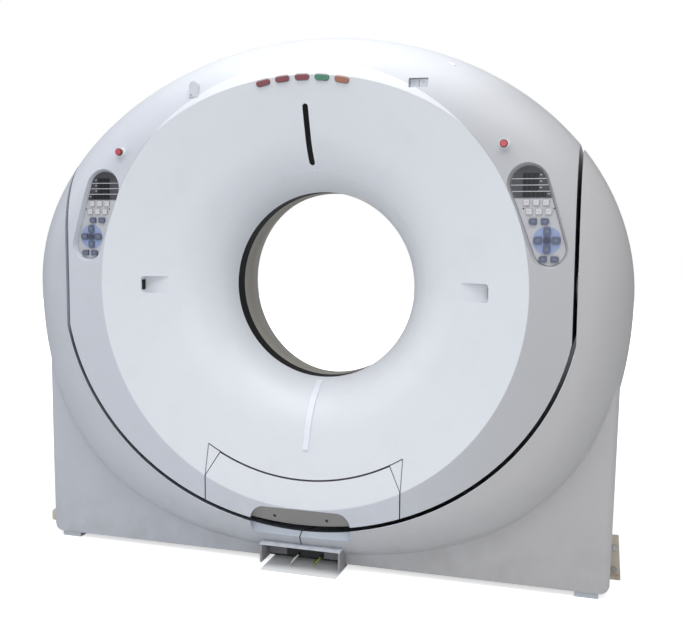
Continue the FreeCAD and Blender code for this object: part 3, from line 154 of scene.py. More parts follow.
class Paint:
    # builds one finish; right, back and up are millimetres about the isocentre
    def __init__(self, name):
        self.material = bpy.data.materials.new(name)
        self.material.use_nodes = True
        self.tree = self.material.node_tree
        self.tree.nodes.clear()
        self.spot = self.node("ShaderNodeTexCoord", output="Object")
        x, y, z = [self.node("ShaderNodeSeparateXYZ", None, {"Vector": self.spot}, output=axis)
                   for axis in "XYZ"]
        self.right = x * 1000
        self.back = (y - isocentre["back"]) * 1000
        self.up = (z - isocentre["height"]) * 1000
        self.side = abs(self.right)

    def node(self, kind, settings=None, inputs=None, output=0):
        made = self.tree.nodes.new(kind)
        for key, value in (settings or {}).items():
            setattr(made, key, value)
        for key, value in (inputs or {}).items():
            if isinstance(value, Wire):
                self.tree.links.new(value.socket, made.inputs[key])
            else:
                made.inputs[key].default_value = value
        return Wire(self, made.outputs[output])

    def maths(self, operation, *values):
        return self.node("ShaderNodeMath", {"operation": operation}, dict(enumerate(values)))

    def radius(self, x, z, across=None):
        # distance from a place on the front, or from both of a pair of places
        return (((self.right if across is None else across) - x) ** 2 + (self.up - z) ** 2) ** 0.5

    def noise(self, scale, detail=3.0, stretch=None):
        spot = self.spot
        if stretch:
            spot = self.node("ShaderNodeVectorMath", {"operation": "MULTIPLY"}, {0: spot, 1: stretch})
        return self.node("ShaderNodeTexNoise", None, {"Vector": spot, "Scale": scale, "Detail": detail})

    def bands(self, direction, scale, distortion=0.0):
        return self.node("ShaderNodeTexWave", {"wave_type": "BANDS", "bands_direction": direction},
                         {"Vector": self.spot, "Scale": scale, "Distortion": distortion}, output="Fac")

    def blend(self, share, first, second, how="MIX"):
        inputs = {0: share, 6: first, 7: second}
        return self.node("ShaderNodeMix", {"data_type": "RGBA", "blend_type": how}, inputs, output=2)

    def bump(self, height, depth, strength=1.0):
        return self.node("ShaderNodeBump", None, {"Height": height, "Distance": depth, "Strength": strength})

    def finish(self, surface):
        out = self.tree.nodes.new("ShaderNodeOutputMaterial")
        self.tree.links.new(surface.socket, out.inputs["Surface"])
        return self.material

    def done(self, **inputs):
        named = {key.replace("_", " "): value for key, value in inputs.items()}
        return self.finish(self.node("ShaderNodeBsdfPrincipled", None, named))


def grey(level):
    return [level, level, level, 1.0]


def shade(colour, factor):
    return [c * factor for c in colour[:3]] + [1.0]


# sprayed covers
coverTones = {
    "white": tone(227, 230, 236), "shoulder": tone(205, 209, 218), "shoulderRightReflection": tone(186, 187, 190),
    "stand": tone(194, 198, 206), "standRightReflection": tone(190, 189, 190), "warmReflection": tone(214, 204, 192),
    "dark": tone(50, 49, 54), "joint": tone(34, 34, 37), "beige": tone(176, 172, 164),
    "scoopTopShade": tone(142, 140, 139), "scoopFootShade": tone(184, 193, 205), "dust": tone(176, 172, 162),
    "speck": tone(120, 122, 128), "scuff": tone(140, 134, 124), "halo": tone(240, 241, 244),
    "collar": tone(44, 36, 40),
}
coverMarks = {  # places and widths, millimetres about the isocentre
    "crease": 809.5, "creaseSoft": 1.0,
    "panelArc": 709.0, "panelArcHalf": 1.9, "panelArcRise": -500, "panelArcSide": 379, "panelArcFoot": 713.4,
    "panelSide": 379.5, "panelSideHalf": 1.8,
    "panelEdge": 376.4, "panelSideTop": -600, "panelSideBack": -200, "sideShare": 0.8,
    "slotSide": (10, 13.5), "slotRise": (448, 668),
    "stopX": 716.0, "stopZ": 501.0, "stopCollar": 17.6, "stopCrown": 10.7,
    "brow": (640, 880), "warmRight": (250, 700), "warmRise": (520, 800),
    "linerRadius": 400, "linerBack": (100, 262),
    "scoopSide": 196, "scoopRise": -811, "scoopFace": -313.6, "screwX": 102, "screwZ": -849, "screwDark": 6.5,
    "footSide": 195.5, "footRise": (-922, -880), "footRound": (0, 41, 0.0, 5.6), "footFace": 313,
    "joint": (-921, -892, -1, 5), "jointHalf": 2.4, "jointTop": -888,
    "floor": -1050, "scuffTop": -700, "shoulderReflectionFade": (-200, 1000), "standReflectionFade": (-700, 900),
}


def cover(paint, colour, roughness, dust=0.06):
    # orange peel, slow change of tint, faint dusty patches, scuffs near the floor
    patches = paint.noise(9.0, 5.0).ramp(0.45, 0.8)
    specks = paint.noise(420.0, 2.0)
    cast = paint.blend(paint.noise(1.6, 2.0), grey(0.975), grey(1.0))
    base = paint.blend(1.0, colour, cast, "MULTIPLY")
    base = paint.blend(patches * dust, base, coverTones["dust"])
    base = paint.blend(specks.ramp(0.3, 0.7) * 0.06, base, coverTones["speck"])
    low = paint.up.ramp(coverMarks["floor"], coverMarks["scuffTop"], 0.2, 0.0)
    base = paint.blend(low * paint.noise(14.0, 4.0).ramp(0.35, 0.75), base, coverTones["scuff"])
    height = specks * 0.35 + paint.noise(150.0, 2.0) * 0.65
    rough = roughness + paint.noise(5.0, 4.0).ramp(0.3, 0.75, -0.05, 0.07) + patches * 0.06
    return paint.done(Base_Color=base, Roughness=rough, Normal=paint.bump(height, 0.00018, 0.5),
                      Specular_IOR_Level=0.4, Coat_Weight=0.12, Coat_Roughness=0.3)


def besidePanel(paint):
    # the upright joint at each side of the service panel
    return (abs(paint.side - coverMarks["panelSide"]) < coverMarks["panelSideHalf"]) \
        * (paint.up < coverMarks["panelSideTop"])


def funnelCover():
    # white funnel: dark joints round the service panel, pale rim along the top slot
    paint = Paint("whiteFunnel")
    marks = coverMarks
    arcLine = (abs(paint.radius(0, 0) - marks["panelArc"]) < marks["panelArcHalf"]) \
        * (paint.up < marks["panelArcRise"]) * (paint.side < marks["panelArcSide"])
    base = paint.blend(arcLine, coverTones["white"], coverTones["dark"])
    base = paint.blend(besidePanel(paint) * marks["sideShare"], base, coverTones["dark"])
    (inner, outer), (foot, top) = marks["slotSide"], marks["slotRise"]
    slotRim = (paint.side < outer) * (paint.side > inner) * (paint.up > foot) * (paint.up < top)
    base = paint.blend(slotRim * 0.5, base, coverTones["halo"])
    return cover(paint, base, 0.36)


def shoulderCover():
    # grey shoulder with painted reflection and shade, cooler on the left and greyer on the right, painted
    # light whitening its top and a painted warm reflection at the top right; white inside the crease, beige
    # beside the liner
    paint = Paint("greyShoulder")
    marks = coverMarks
    # painted reflection and shade: cooler and lighter on the left, greyer on the right
    fade = paint.right.ramp(*marks["shoulderReflectionFade"])
    base = paint.blend(fade, coverTones["shoulder"], coverTones["shoulderRightReflection"])
    # painted light: the shoulder whitened toward its top, where light falls from above
    base = paint.blend(paint.up.ramp(*marks["brow"], 0.0, 0.8), base, coverTones["white"])
    inside = paint.radius(0, 0) < marks["crease"]
    base = paint.blend(inside, base, coverTones["white"])
    fromStop = paint.radius(marks["stopX"], marks["stopZ"], paint.side)
    base = paint.blend(fromStop < marks["stopCollar"], base, coverTones["halo"])
    # painted reflection: a warm tint at the top right, inside the crease
    topRight = paint.right.ramp(*marks["warmRight"]) * paint.up.ramp(*marks["warmRise"]) * inside
    base = paint.blend(topRight * 0.5, base, coverTones["warmReflection"])
    sides = besidePanel(paint) * (paint.back < marks["panelSideBack"])
    base = paint.blend(sides * marks["sideShare"], base, coverTones["dark"])
    near, far = marks["linerBack"]
    byLiner = (paint.radius(0, 0) < marks["linerRadius"]) * (paint.back > near) * (paint.back < far)
    base = paint.blend(byLiner, base, coverTones["beige"])
    return cover(paint, base, 0.44)


def servicePanelCover():
    # white inside the funnel's rim, grey outside it, warm painted shade in the scoop, dark at its edges
    paint = Paint("servicePanel")
    marks = coverMarks
    radius = paint.radius(0, 0)
    rim = radius.ramp(marks["crease"], marks["crease"] + marks["creaseSoft"])
    base = paint.blend(rim, coverTones["white"], coverTones["shoulder"])
    # painted shade: the recessed scoop darkened
    inScoop = (paint.side < marks["scoopSide"]) * (paint.up < marks["scoopRise"]) \
        * (paint.back > marks["scoopFace"])
    base = paint.blend(inScoop, base, coverTones["scoopTopShade"])
    screws = paint.radius(marks["screwX"], marks["screwZ"], paint.side) < marks["screwDark"]
    base = paint.blend(screws, base, coverTones["dark"])
    base = paint.blend(radius < marks["panelArcFoot"], base, coverTones["dark"])
    base = paint.blend((paint.side > marks["panelEdge"]) * marks["sideShare"], base, coverTones["dark"])
    return cover(paint, base, 0.4)


def standCover():
    # cool grey stand, with painted reflection and shade making it warmer and greyer to the right, and painted
    # shade in the foot of the scoop; dark joint from the scoop to the hood
    paint = Paint("standCover")
    marks = coverMarks
    # painted reflection and shade: warmer and greyer toward the right
    base = paint.blend(paint.right.ramp(*marks["standReflectionFade"]), coverTones["stand"], coverTones["standRightReflection"])
    # painted shade: the foot of the scoop darker and bluer than the stand
    foot, top = marks["footRise"]
    drop = (top - paint.up).ramp(*marks["footRound"])
    inScoop = (paint.side < marks["footSide"]) * (paint.up < top) * (paint.up > foot) \
        * (paint.back > drop - marks["footFace"])
    base = paint.blend(inScoop, base, coverTones["scoopFootShade"])
    lean = paint.up.ramp(*marks["joint"])
    joint = (abs(paint.right - lean) < marks["jointHalf"]) * (paint.up < marks["jointTop"])
    base = paint.blend(joint * (paint.back < 0), base, coverTones["joint"])
    return cover(paint, base, 0.48, 0.1)


def hardPlastic(name, colour, roughness=0.4, grain=260.0, depth=0.00015, change=0.1, **more):
    # moulded plastic: cloudy tint, fine grain
    paint = Paint(name)
    base = paint.blend(paint.noise(34.0, 4.0), shade(colour, 1 - change), shade(colour, 1 + change))
    base = paint.blend(paint.noise(grain, 2.0).ramp(0.35, 0.7) * 0.12, base, shade(colour, 0.7))
    rough = roughness + paint.noise(60.0, 4.0).ramp(0.3, 0.7, -0.06, 0.08)
    return paint.done(Base_Color=base, Roughness=rough,
                      Normal=paint.bump(paint.noise(grain, 3.0), depth, 0.5), **more)


def metal(name, colour, roughness=0.35, brushed=None, grain=90.0, depth=0.0002):
    # bare metal: turned or cast grain, duller patches
    paint = Paint(name)
    fine = paint.noise(grain, 4.0, brushed)
    base = paint.blend(fine, shade(colour, 0.82), shade(colour, 1.1))
    base = paint.blend(paint.noise(7.0, 5.0).ramp(0.5, 0.85) * 0.3, base, shade(colour, 0.62))
    rough = roughness + fine.ramp(0.25, 0.75, -0.08, 0.12)
    return paint.done(Base_Color=base, Roughness=rough, Metallic=1.0, Normal=paint.bump(fine, depth, 0.4))


bareMetal = tone(96, 92, 86)


def painted(name, colour, roughness=0.45, chips=0.35):
    # paint on steel: pebbled, scuffed through here and there
    paint = Paint(name)
    scuffs = paint.noise(26.0, 6.0).ramp(0.62, 0.72)
    base = paint.blend(paint.noise(3.0, 3.0), shade(colour, 0.9), shade(colour, 1.08))
    base = paint.blend(scuffs * chips, base, bareMetal)
    height = paint.noise(240.0, 3.0) - scuffs * 0.6
    return paint.done(Base_Color=base, Roughness=roughness + scuffs * 0.2,
                      Normal=paint.bump(height, 0.0003, 0.5))


# five lamps in one row: three red, one green, one amber
lampLook = {"red": tone(126, 58, 68), "green": tone(62, 128, 102), "amber": tone(158, 100, 76),
            "rim": tone(58, 52, 56), "gleam": tone(196, 186, 190), "greenFrom": 37, "amberFrom": 110,
            "gleamRadius": (757.0, 761.0), "rimBack": -296.8}


def statusLens():
    # ribbed lens with painted highlights on the ribs and along its upper edge, and a dark rim
    paint = Paint("lampLens")
    look = lampLook
    base = paint.blend(paint.right > look["greenFrom"], look["red"], look["green"])
    base = paint.blend(paint.right > look["amberFrom"], base, look["amber"])
    # painted highlights on the ribs
    ribs = paint.bands("X", 60.0)
    base = paint.blend(ribs * 0.2, base, shade(look["gleam"], 0.7))
    # painted highlight along the upper edge
    gleam = paint.radius(0, 0).ramp(*look["gleamRadius"])
    base = paint.blend(gleam * 0.7, base, look["gleam"])
    base = paint.blend(paint.back > look["rimBack"], base, look["rim"])
    return paint.done(Base_Color=base, Roughness=0.2 + paint.noise(50.0, 4.0) * 0.1, Coat_Weight=0.4,
                      Coat_Roughness=0.12, Normal=paint.bump(ribs, 0.0002, 0.35))


# keypad: measures in millimetres, right-hand panel, mirrored on the left
keypadLook = {
    "foil": tone(188, 189, 194), "foilLight": tone(200, 201, 206), "disc": tone(150, 165, 205),
    "whiteKey": tone(208, 206, 209), "keyEdge": tone(132, 134, 142), "blue": tone(96, 104, 124),
    "blueDark": tone(58, 64, 82), "icon": tone(142, 152, 176), "mark": tone(168, 168, 176),
    "speck": tone(150, 152, 160), "speckShare": 0.07,
    "foilFront": -293.3, "ledgeFront": -293.4, "whiteFront": -296.6, "whiteFoot": 255,
    "blueFront": -299.6, "blueSide": -299.4,
    "whiteRows": [(790.9, 309.3), (822.9, 309.3), (854.9, 309.3),
                  (800.4, 279.3), (832.4, 279.3), (864.4, 279.3)],
    "edgeRing": (9.3, 11.2), "edgeShare": 0.7, "dash": (4, 1.2), "dashShare": 0.6,
    "padX": 861.3, "padZ": 183.6, "padRadius": 46.3, "homeRadius": 11, "homeShare": 0.85,
    "arrow": (27, 37), "arrowSlope": 0.62, "iconShare": 0.4,
    "letters": [(813.7, 246.3), (853.6, 246.3), (849.1, 121.0), (888.2, 121.0)],
    "bar": (6.5, 1.3), "post": (1.3, 5),
}
displayLook = {
    "glass": tone(66, 67, 72), "glassLight": tone(97, 99, 105), "row": tone(18, 18, 22),
    "line": tone(206, 208, 214), "rows": 4, "rowTop": 397.5, "rowPitch": 20.8, "rowHalf": 7.9,
    "rowLeft": 777.8, "rowRight": 829.2, "rowRightLong": 855.2,
    "lines": (387.1, 366.3, 345.5), "lineHalf": 1.1, "lineFront": -294.4,
    "markRise": 2, "markHalf": (3.5, 1.6), "markOut": 8, "markShare": 0.8,
}


def displayGlass():
    # tinted window: dark rows with pale lines between them
    paint = Paint("displayGlass")
    look = displayLook
    base = paint.blend(paint.noise(45.0, 4.0), look["glass"], shade(look["glass"], 1.25))
    base = paint.blend(paint.side.ramp(790, 720) * 0.6, base, look["glassLight"])
    facing = paint.back < look["lineFront"]
    for middle in look["lines"]:
        base = paint.blend((abs(paint.up - middle) < look["lineHalf"]) * facing, base, look["line"])
    for row in range(look["rows"]):
        middle = look["rowTop"] - look["rowPitch"] * row
        right = look["rowRightLong"] if row == look["rows"] - 1 else look["rowRight"]
        inRow = (abs(paint.up - middle) < look["rowHalf"]) \
            * (paint.side > look["rowLeft"]) * (paint.side < right)
        segments = paint.bands("X", 22.0).ramp(0.82, 0.98, 0.0, 0.16)
        base = paint.blend(inRow, base, paint.blend(segments, look["row"], look["glassLight"]))
        half, rise = look["markHalf"]
        mark = (abs(paint.up - middle - look["markRise"]) < rise) \
            * (abs(paint.side - right - look["markOut"]) < half)
        base = paint.blend(mark * look["markShare"], base, look["line"])
    return paint.done(Base_Color=base, Roughness=0.3 + paint.noise(30.0, 4.0) * 0.14, Coat_Weight=0.15,
                      Coat_Roughness=0.2, Specular_IOR_Level=0.35,
                      Normal=paint.bump(paint.noise(160.0, 2.0), 0.0001, 0.2))


def panelFace():
    # printed foil with a blue disc under the direction keys, and raised white keys
    paint = Paint("panelFace")
    look = keypadLook
    base = paint.blend(paint.noise(20.0, 3.0), look["foil"], look["foilLight"])
    fromPad = paint.radius(look["padX"], look["padZ"], paint.side)
    disc = (fromPad < look["padRadius"]) * (paint.back < look["foilFront"])
    base = paint.blend(disc, base, look["disc"])
    upper = paint.up > look["whiteFoot"]
    base = paint.blend((paint.back < look["ledgeFront"]) * upper, base, look["keyEdge"])
    keyTop = (paint.back < look["whiteFront"]) * upper
    base = paint.blend(keyTop, base, look["whiteKey"])
    inner, outer = look["edgeRing"]
    dashHalf, dashRise = look["dash"]
    for x, z in look["whiteRows"]:
        across, rise = abs(paint.side - x), abs(paint.up - z)
        squareRing = paint.maths("MAXIMUM", across, rise)
        edge = keyTop * (squareRing > inner) * (squareRing < outer)
        base = paint.blend(edge * look["edgeShare"], base, look["keyEdge"])
        dash = keyTop * (across < dashHalf) * (rise < dashRise)
        base = paint.blend(dash * look["dashShare"], base, look["mark"])
    base = paint.blend(paint.noise(300.0, 2.0).ramp(0.4, 0.7) * look["speckShare"], base, look["speck"])
    rough = 0.38 + paint.noise(24.0, 5.0).ramp(0.3, 0.7, -0.05, 0.1)
    return paint.done(Base_Color=base, Roughness=rough,
                      Normal=paint.bump(paint.noise(500.0, 2.0), 0.0001, 0.4))


def blueKey():
    # slate keys: a faint arrow or bar printed on the outer ones, the middle one darker
    paint = Paint("blueKey")
    look = keypadLook
    base = paint.blend(paint.noise(70.0, 3.0), shade(look["blue"], 0.92), shade(look["blue"], 1.1))
    base = paint.blend(paint.noise(420.0, 2.0).ramp(0.4, 0.7) * 0.12, base, look["blueDark"])
    across, rise = paint.side - look["padX"], paint.up - look["padZ"]
    icon = 0
    root, tip = look["arrow"]
    for along, other in ((rise, across), (across, rise)):
        reach = abs(along)  # triangles point away from the disc's middle
        icon = icon + (reach > root) * (reach < tip) * (abs(other) < (tip - reach) * look["arrowSlope"])
    for x, z in look["letters"]:
        bar, post = [(abs(paint.side - x) < half) * (abs(paint.up - z) < high)
                     for half, high in (look["bar"], look["post"])]
        icon = icon + (bar + post > 0.5)
    top = paint.back < look["blueFront"]
    base = paint.blend((icon > 0.5) * top * look["iconShare"], base, look["icon"])
    home = (across ** 2 + rise ** 2) ** 0.5 < look["homeRadius"]
    base = paint.blend(home * look["homeShare"], base, look["blueDark"])
    base = paint.blend((paint.back > look["blueSide"]) * 0.8, base, look["blueDark"])
    rubbed = top * paint.noise(90.0, 4.0).ramp(0.5, 0.7) * 0.2
    base = paint.blend(rubbed, base, shade(look["icon"], 0.7))
    return paint.done(Base_Color=base, Roughness=0.4 + rubbed * 0.3,
                      Normal=paint.bump(paint.noise(600.0, 2.0), 0.0001, 0.4))


def redButton():
    # red crown inside a dark ring
    paint = Paint("redButton")
    fromStop = paint.radius(coverMarks["stopX"], coverMarks["stopZ"], paint.side)
    base = paint.blend(paint.noise(40.0, 3.0), tone(196, 66, 76), tone(212, 82, 90))
    base = paint.blend(fromStop > coverMarks["stopCrown"], base, coverTones["collar"])
    return paint.done(Base_Color=base, Roughness=0.3 + paint.noise(60.0, 4.0) * 0.1, Coat_Weight=0.4,
                      Coat_Roughness=0.1, Normal=paint.bump(paint.noise(300.0, 2.0), 0.0001, 0.3))


frameEnds = {"side": 880, "back": -120, "rise": -1000}


def baseFrame():
    # dark painted steel; the ends that show under the cheeks are as pale as the covers
    paint = Paint("framePaint")
    scuffs = paint.noise(26.0, 6.0).ramp(0.62, 0.72)
    base = paint.blend(paint.noise(3.0, 3.0), tone(58, 60, 66), tone(68, 70, 77))
    showing = (paint.side > frameEnds["side"]) * (paint.back < frameEnds["back"]) \
        * (paint.up < frameEnds["rise"])
    base = paint.blend(showing, base, coverTones["stand"])
    base = paint.blend(scuffs * 0.3, base, bareMetal)
    height = paint.noise(240.0, 3.0) - scuffs * 0.6
    return paint.done(Base_Color=base, Roughness=0.5 + scuffs * 0.2, Normal=paint.bump(height, 0.0003, 0.5))


def grooved():
    # beige liner with fine grooves round the bore
    paint = Paint("boreLiner")
    ribs = paint.bands("Y", 34.0)
    base = paint.blend(ribs * 0.35, coverTones["beige"], tone(142, 138, 130))
    base = paint.blend(paint.noise(24.0, 4.0).ramp(0.4, 0.8) * 0.2, base, tone(150, 146, 138))
    return paint.done(Base_Color=base, Roughness=0.5 + paint.noise(30.0, 4.0) * 0.1,
                      Normal=paint.bump(ribs, 0.0008, 0.5))


def cableJacket(name, colour, stripe=None):
    # soft plastic, striped for the earth lead
    paint = Paint(name)
    base = paint.blend(paint.noise(120.0, 4.0), shade(colour, 0.88), shade(colour, 1.06))
    if stripe:
        base = paint.blend(paint.bands("DIAGONAL", 38.0, 0.6) > 0.5, base, stripe)
    return paint.done(Base_Color=base, Roughness=0.44 + paint.noise(90.0, 4.0) * 0.12,
                      Normal=paint.bump(paint.noise(700.0, 2.0), 0.0001, 0.5))


def beltRubber():
    # black rubber with ribs along the belt
    paint = Paint("beltRubber")
    ribs = paint.bands("Y", 60.0)
    base = paint.blend(ribs, tone(22, 22, 24), tone(40, 40, 42))
    return paint.done(Base_Color=base, Roughness=0.62 + paint.noise(80.0, 4.0) * 0.15,
                      Normal=paint.bump(ribs, 0.001, 0.6))


def scanFilm():
    # the thin dark ring that the beam passes
    paint = Paint("scanFilm")
    base = paint.blend(paint.noise(16.0, 4.0), tone(5, 5, 6), tone(13, 13, 15))
    return paint.done(Base_Color=base, Roughness=0.46 + paint.noise(12.0, 4.0) * 0.15,
                      Specular_IOR_Level=0.15, Normal=paint.bump(paint.noise(200.0, 2.0), 0.0001, 0.4))


hoodLook = {"roofFrom": -962.5, "wall": tone(156, 154, 158), "roof": tone(200, 205, 214),
            "plugs": (-69.5, 76.5), "plugGap": 4.5, "plugGapHalf": 1.4,
            "plate": tone(112, 111, 116), "plug": tone(17, 17, 19)}


def hoodPaint():
    # pale roof, walls darker with painted shade
    paint = Paint("hoodPaint")
    # painted shade on the walls below the roof
    base = paint.blend(paint.up > hoodLook["roofFrom"], hoodLook["wall"], hoodLook["roof"])
    base = paint.blend(paint.noise(30.0, 5.0).ramp(0.45, 0.8) * 0.3, base, tone(132, 128, 124))
    return paint.done(Base_Color=base, Roughness=0.46 + paint.noise(24.0, 4.0) * 0.12,
                      Normal=paint.bump(paint.noise(240.0, 3.0), 0.0002, 0.4))


def connectorPlastic():
    # black plug bodies in a grey plate
    paint = Paint("connectorPlastic")
    left, right = hoodLook["plugs"]
    plug = (paint.right > left) * (paint.right < right) \
        * (abs(paint.right - hoodLook["plugGap"]) > hoodLook["plugGapHalf"])
    base = paint.blend(plug, hoodLook["plate"], hoodLook["plug"])
    base = paint.blend(paint.noise(60.0, 4.0).ramp(0.4, 0.8) * 0.2, base, tone(60, 60, 64))
    return paint.done(Base_Color=base, Roughness=0.42 + paint.noise(50.0, 4.0) * 0.14,
                      Normal=paint.bump(paint.noise(260.0, 2.0), 0.0002, 0.4))


finishes = {
    "funnel": funnelCover(),
    "shoulder": shoulderCover(),
    "servicePanel": servicePanelCover(),
    "stand": standCover(),
    "panel": panelFace(),
    "display": displayGlass(),
    "key": blueKey(),
    "red": redButton(),
    "lens": statusLens(),
    "darkWindow": hardPlastic("darkWindow", tone(9, 9, 10), 0.34, change=0.2, Specular_IOR_Level=0.2),
    "scan": scanFilm(),
    "liner": grooved(),
    "strip": hardPlastic("cableStrip", tone(234, 238, 246), 0.34, change=0.03),
    "socket": hardPlastic("socketPlate", tone(214, 217, 223), 0.4, change=0.03),
    "tab": hardPlastic("hookTab", tone(206, 209, 216), 0.4, change=0.03),
    "hood": hoodPaint(),
    "connector": connectorPlastic(),
    "black": hardPlastic("blackPlastic", tone(24, 24, 26), 0.46, change=0.25),
    "frame": baseFrame(),
    "bracket": painted("bracketPaint", tone(208, 198, 180), 0.46, 0.25),
    "bright": metal("brightSteel", tone(196, 197, 200), 0.24, grain=140.0),
    "turned": metal("turnedSteel", tone(186, 188, 192), 0.3, (1, 24, 1), 60.0),
    "alloy": metal("castAlloy", tone(168, 170, 174), 0.42, grain=120.0, depth=0.0004),
    "belt": beltRubber(),
    "cast": painted("castIron", tone(70, 74, 80), 0.6, 0.15),
    "whiteJacket": cableJacket("whiteJacket", tone(222, 220, 208)),
    "earthJacket": cableJacket("earthJacket", tone(196, 190, 62), tone(64, 124, 62)),
}
dressed = {
    "funnel": ["front_cover"],
    "shoulder": ["ring_cover", "rear_cover"],
    "servicePanel": ["service_panel"],
    "stand": ["stand_cover_left", "stand_cover_right", "rear_stand_cover"],
    "panel": ["control_panels"],
    "display": ["display_windows"],
    "key": [name for name in nodes if name.startswith("key_")],
    "red": ["stop_button_left", "stop_button_right"],
    "lens": ["status_lamps"],
    "darkWindow": ["laser_windows"],
    "scan": ["scan_window"],
    "liner": ["bore_liner"],
    "strip": ["strip_cover"],
    "socket": ["socket_plates"],
    "tab": ["hook_tab"],
    "hood": ["cable_hood"],
    "connector": ["hood_connectors"],
    "black": ["brush_block"],
    "frame": ["base_frame", "side_pylons", "tilt_motor"],
    "bracket": ["anchor_brackets"],
    "bright": ["anchor_bolts", "tilt_bearings", "tilt_pinion", "motor_pulley"],
    "turned": ["bearing_outer_race", "slip_ring", "sector_gear"],
    "alloy": ["tilt_frame", "rotor_ring", "xray_tube", "drive_motor"],
    "belt": ["drive_belt"],
    "cast": ["counterweight", "collimator", "hv_generator", "detector_arc"],
}
for finish, names in dressed.items():
    for name in names:
        for holder in nodes[name].material_slots:
            holder.material = finishes[finish]
cables["whiteHoodCable"].data.materials.append(finishes["whiteJacket"])
cables["earthHoodCable"].data.materials.append(finishes["earthJacket"])
print("finishes on", sum(len(names) for names in dressed.values()), "nodes")


# small fittings in mesh code
def addPiece(name, work, body, finish):
    mesh = bpy.data.meshes.new(name)
    bmesh.ops.recalc_face_normals(work, faces=work.faces)
    work.to_mesh(mesh)
    work.free()
    mesh.shade_smooth()
    mesh.materials.append(finishes[finish])
    piece = bpy.data.objects.new(name, mesh)
    bpy.context.collection.objects.link(piece)
    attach(piece, body)
    return piece


def surfaceAt(node, x, z):
    # where a ray from the front meets a cover, and which way the cover faces there
    spot, normal = nodes[node].ray_cast(place(x, -1000, z), Vector((0, 1, 0)))[1:3]
    return spot, normal if normal.y < 0 else -normal


def skin(work, rings):
    # faces between neighbouring rings, and one over each end
    steps = len(rings[0])
    for low, high in zip(rings, rings[1:]):
        for step in range(steps):
            follow = (step + 1) % steps
            work.faces.new((low[step], low[follow], high[follow], high[step]))
    work.faces.new(rings[0])
    work.faces.new(rings[-1])


def lathe(work, spot, axis, profile, steps=28, squash=None):
    # rings of (radius, height) millimetres round an axis; squash = (direction, half the pill's straight)
    axis = axis.normalized()
    side = axis.orthogonal().normalized() if squash is None else squash[0] - axis * squash[0].dot(axis)
    side.normalize()
    over = axis.cross(side)
    rings = []
    for radius, height in profile:
        ring = []
        for step in range(steps):
            angle = 2 * math.pi * step / steps
            along, across = radius * math.cos(angle), radius * math.sin(angle)
            if squash:  # the two halves move apart into a pill
                along += math.copysign(squash[1], math.cos(angle))
            ring.append(work.verts.new(spot + (side * along + over * across + axis * height) / 1000))
        rings.append(ring)
    skin(work, rings)


keypadScrews = {"places": [(781.9, 289.0), (882.8, 289.0)], "face": -293.0,
                "profile": [(2.6, -0.6), (2.6, 0.5), (2.2, 0.9), (1.4, 0.9), (1.2, 0.2), (0.4, 0.2)]}
work = bmesh.new()
for x, z in keypadScrews["places"]:
    for side in (1, -1):
        lathe(work, place(side * x, keypadScrews["face"], z), Vector((0, -1, 0)), keypadScrews["profile"], 20)
addPiece("keypadScrews", work, "gantry", "frame")

panelScrews = {"x": 102.0, "z": -849.0, "aside": 6.0, "sunk": 0.0015,
               "profile": [(3.3, -6.0), (3.3, 0.6), (2.8, 1.1), (1.7, 1.1), (1.6, -1.0), (0.4, -1.0)]}
work = bmesh.new()
for x in (-panelScrews["x"], panelScrews["x"]):
    spot, normal = surfaceAt("service_panel", x + panelScrews["aside"], panelScrews["z"])
    middle = Vector((x / 1000, spot.y + panelScrews["sunk"], spot.z))
    lathe(work, middle, normal, panelScrews["profile"], 18)
addPiece("panelScrews", work, "gantry", "black")

browPlug = {"x": 516.0, "z": 789.0, "lean": -33.0, "half": 6.5,
            "profile": [(6.6, -2.0), (6.6, 1.2), (5.8, 2.2), (4.2, 2.9), (2.0, 3.2), (0.4, 3.3)]}
spot, normal = surfaceAt("ring_cover", browPlug["x"], browPlug["z"])
lean = math.radians(browPlug["lean"])
work = bmesh.new()
lathe(work, spot, normal, browPlug["profile"], 40,
      (Vector((math.cos(lean), 0, math.sin(lean))), browPlug["half"]))
addPiece("browPlug", work, "gantry", "strip")

slotDimple = {"x": 3.0, "z": 434.0, "profile": [(6.2, -0.8), (6.2, 0.5), (5.2, 1.0), (4.0, 0.3), (2.6, 1.4),
                                               (1.2, 1.9), (0.3, 2.0)]}
spot, normal = surfaceAt("front_cover", slotDimple["x"], slotDimple["z"])
work = bmesh.new()
lathe(work, spot, normal, slotDimple["profile"], 28)
addPiece("slotDimple", work, "gantry", "strip")

footTab = {"x": (-1135.0, -1104.0), "y": (-206.0, -188.0), "z": (-1000.0, -951.0), "chamfer": 11.0,
           "notch": (4, 5), "round": 0.0022, "roundSteps": 3}
work = bmesh.new()
(left, right), (front, rear), (foot, top) = footTab["x"], footTab["y"], footTab["z"]
across, rise = footTab["notch"]
outline = [(right, foot), (left + across, foot), (left, foot + rise), (left, top - footTab["chamfer"]),
           (left + footTab["chamfer"], top), (right, top)]
faces = [work.faces.new([work.verts.new(place(x, y, z)) for x, z in outline]) for y in (front, rear)]
near, back = [list(face.verts) for face in faces]
for step in range(len(outline)):
    follow = (step + 1) % len(outline)
    work.faces.new((near[step], near[follow], back[follow], back[step]))
tab = addPiece("footTab", work, "stand", "bracket")
bevel = tab.modifiers.new("soften", "BEVEL")
bevel.width = footTab["round"]
bevel.segments = footTab["roundSteps"]

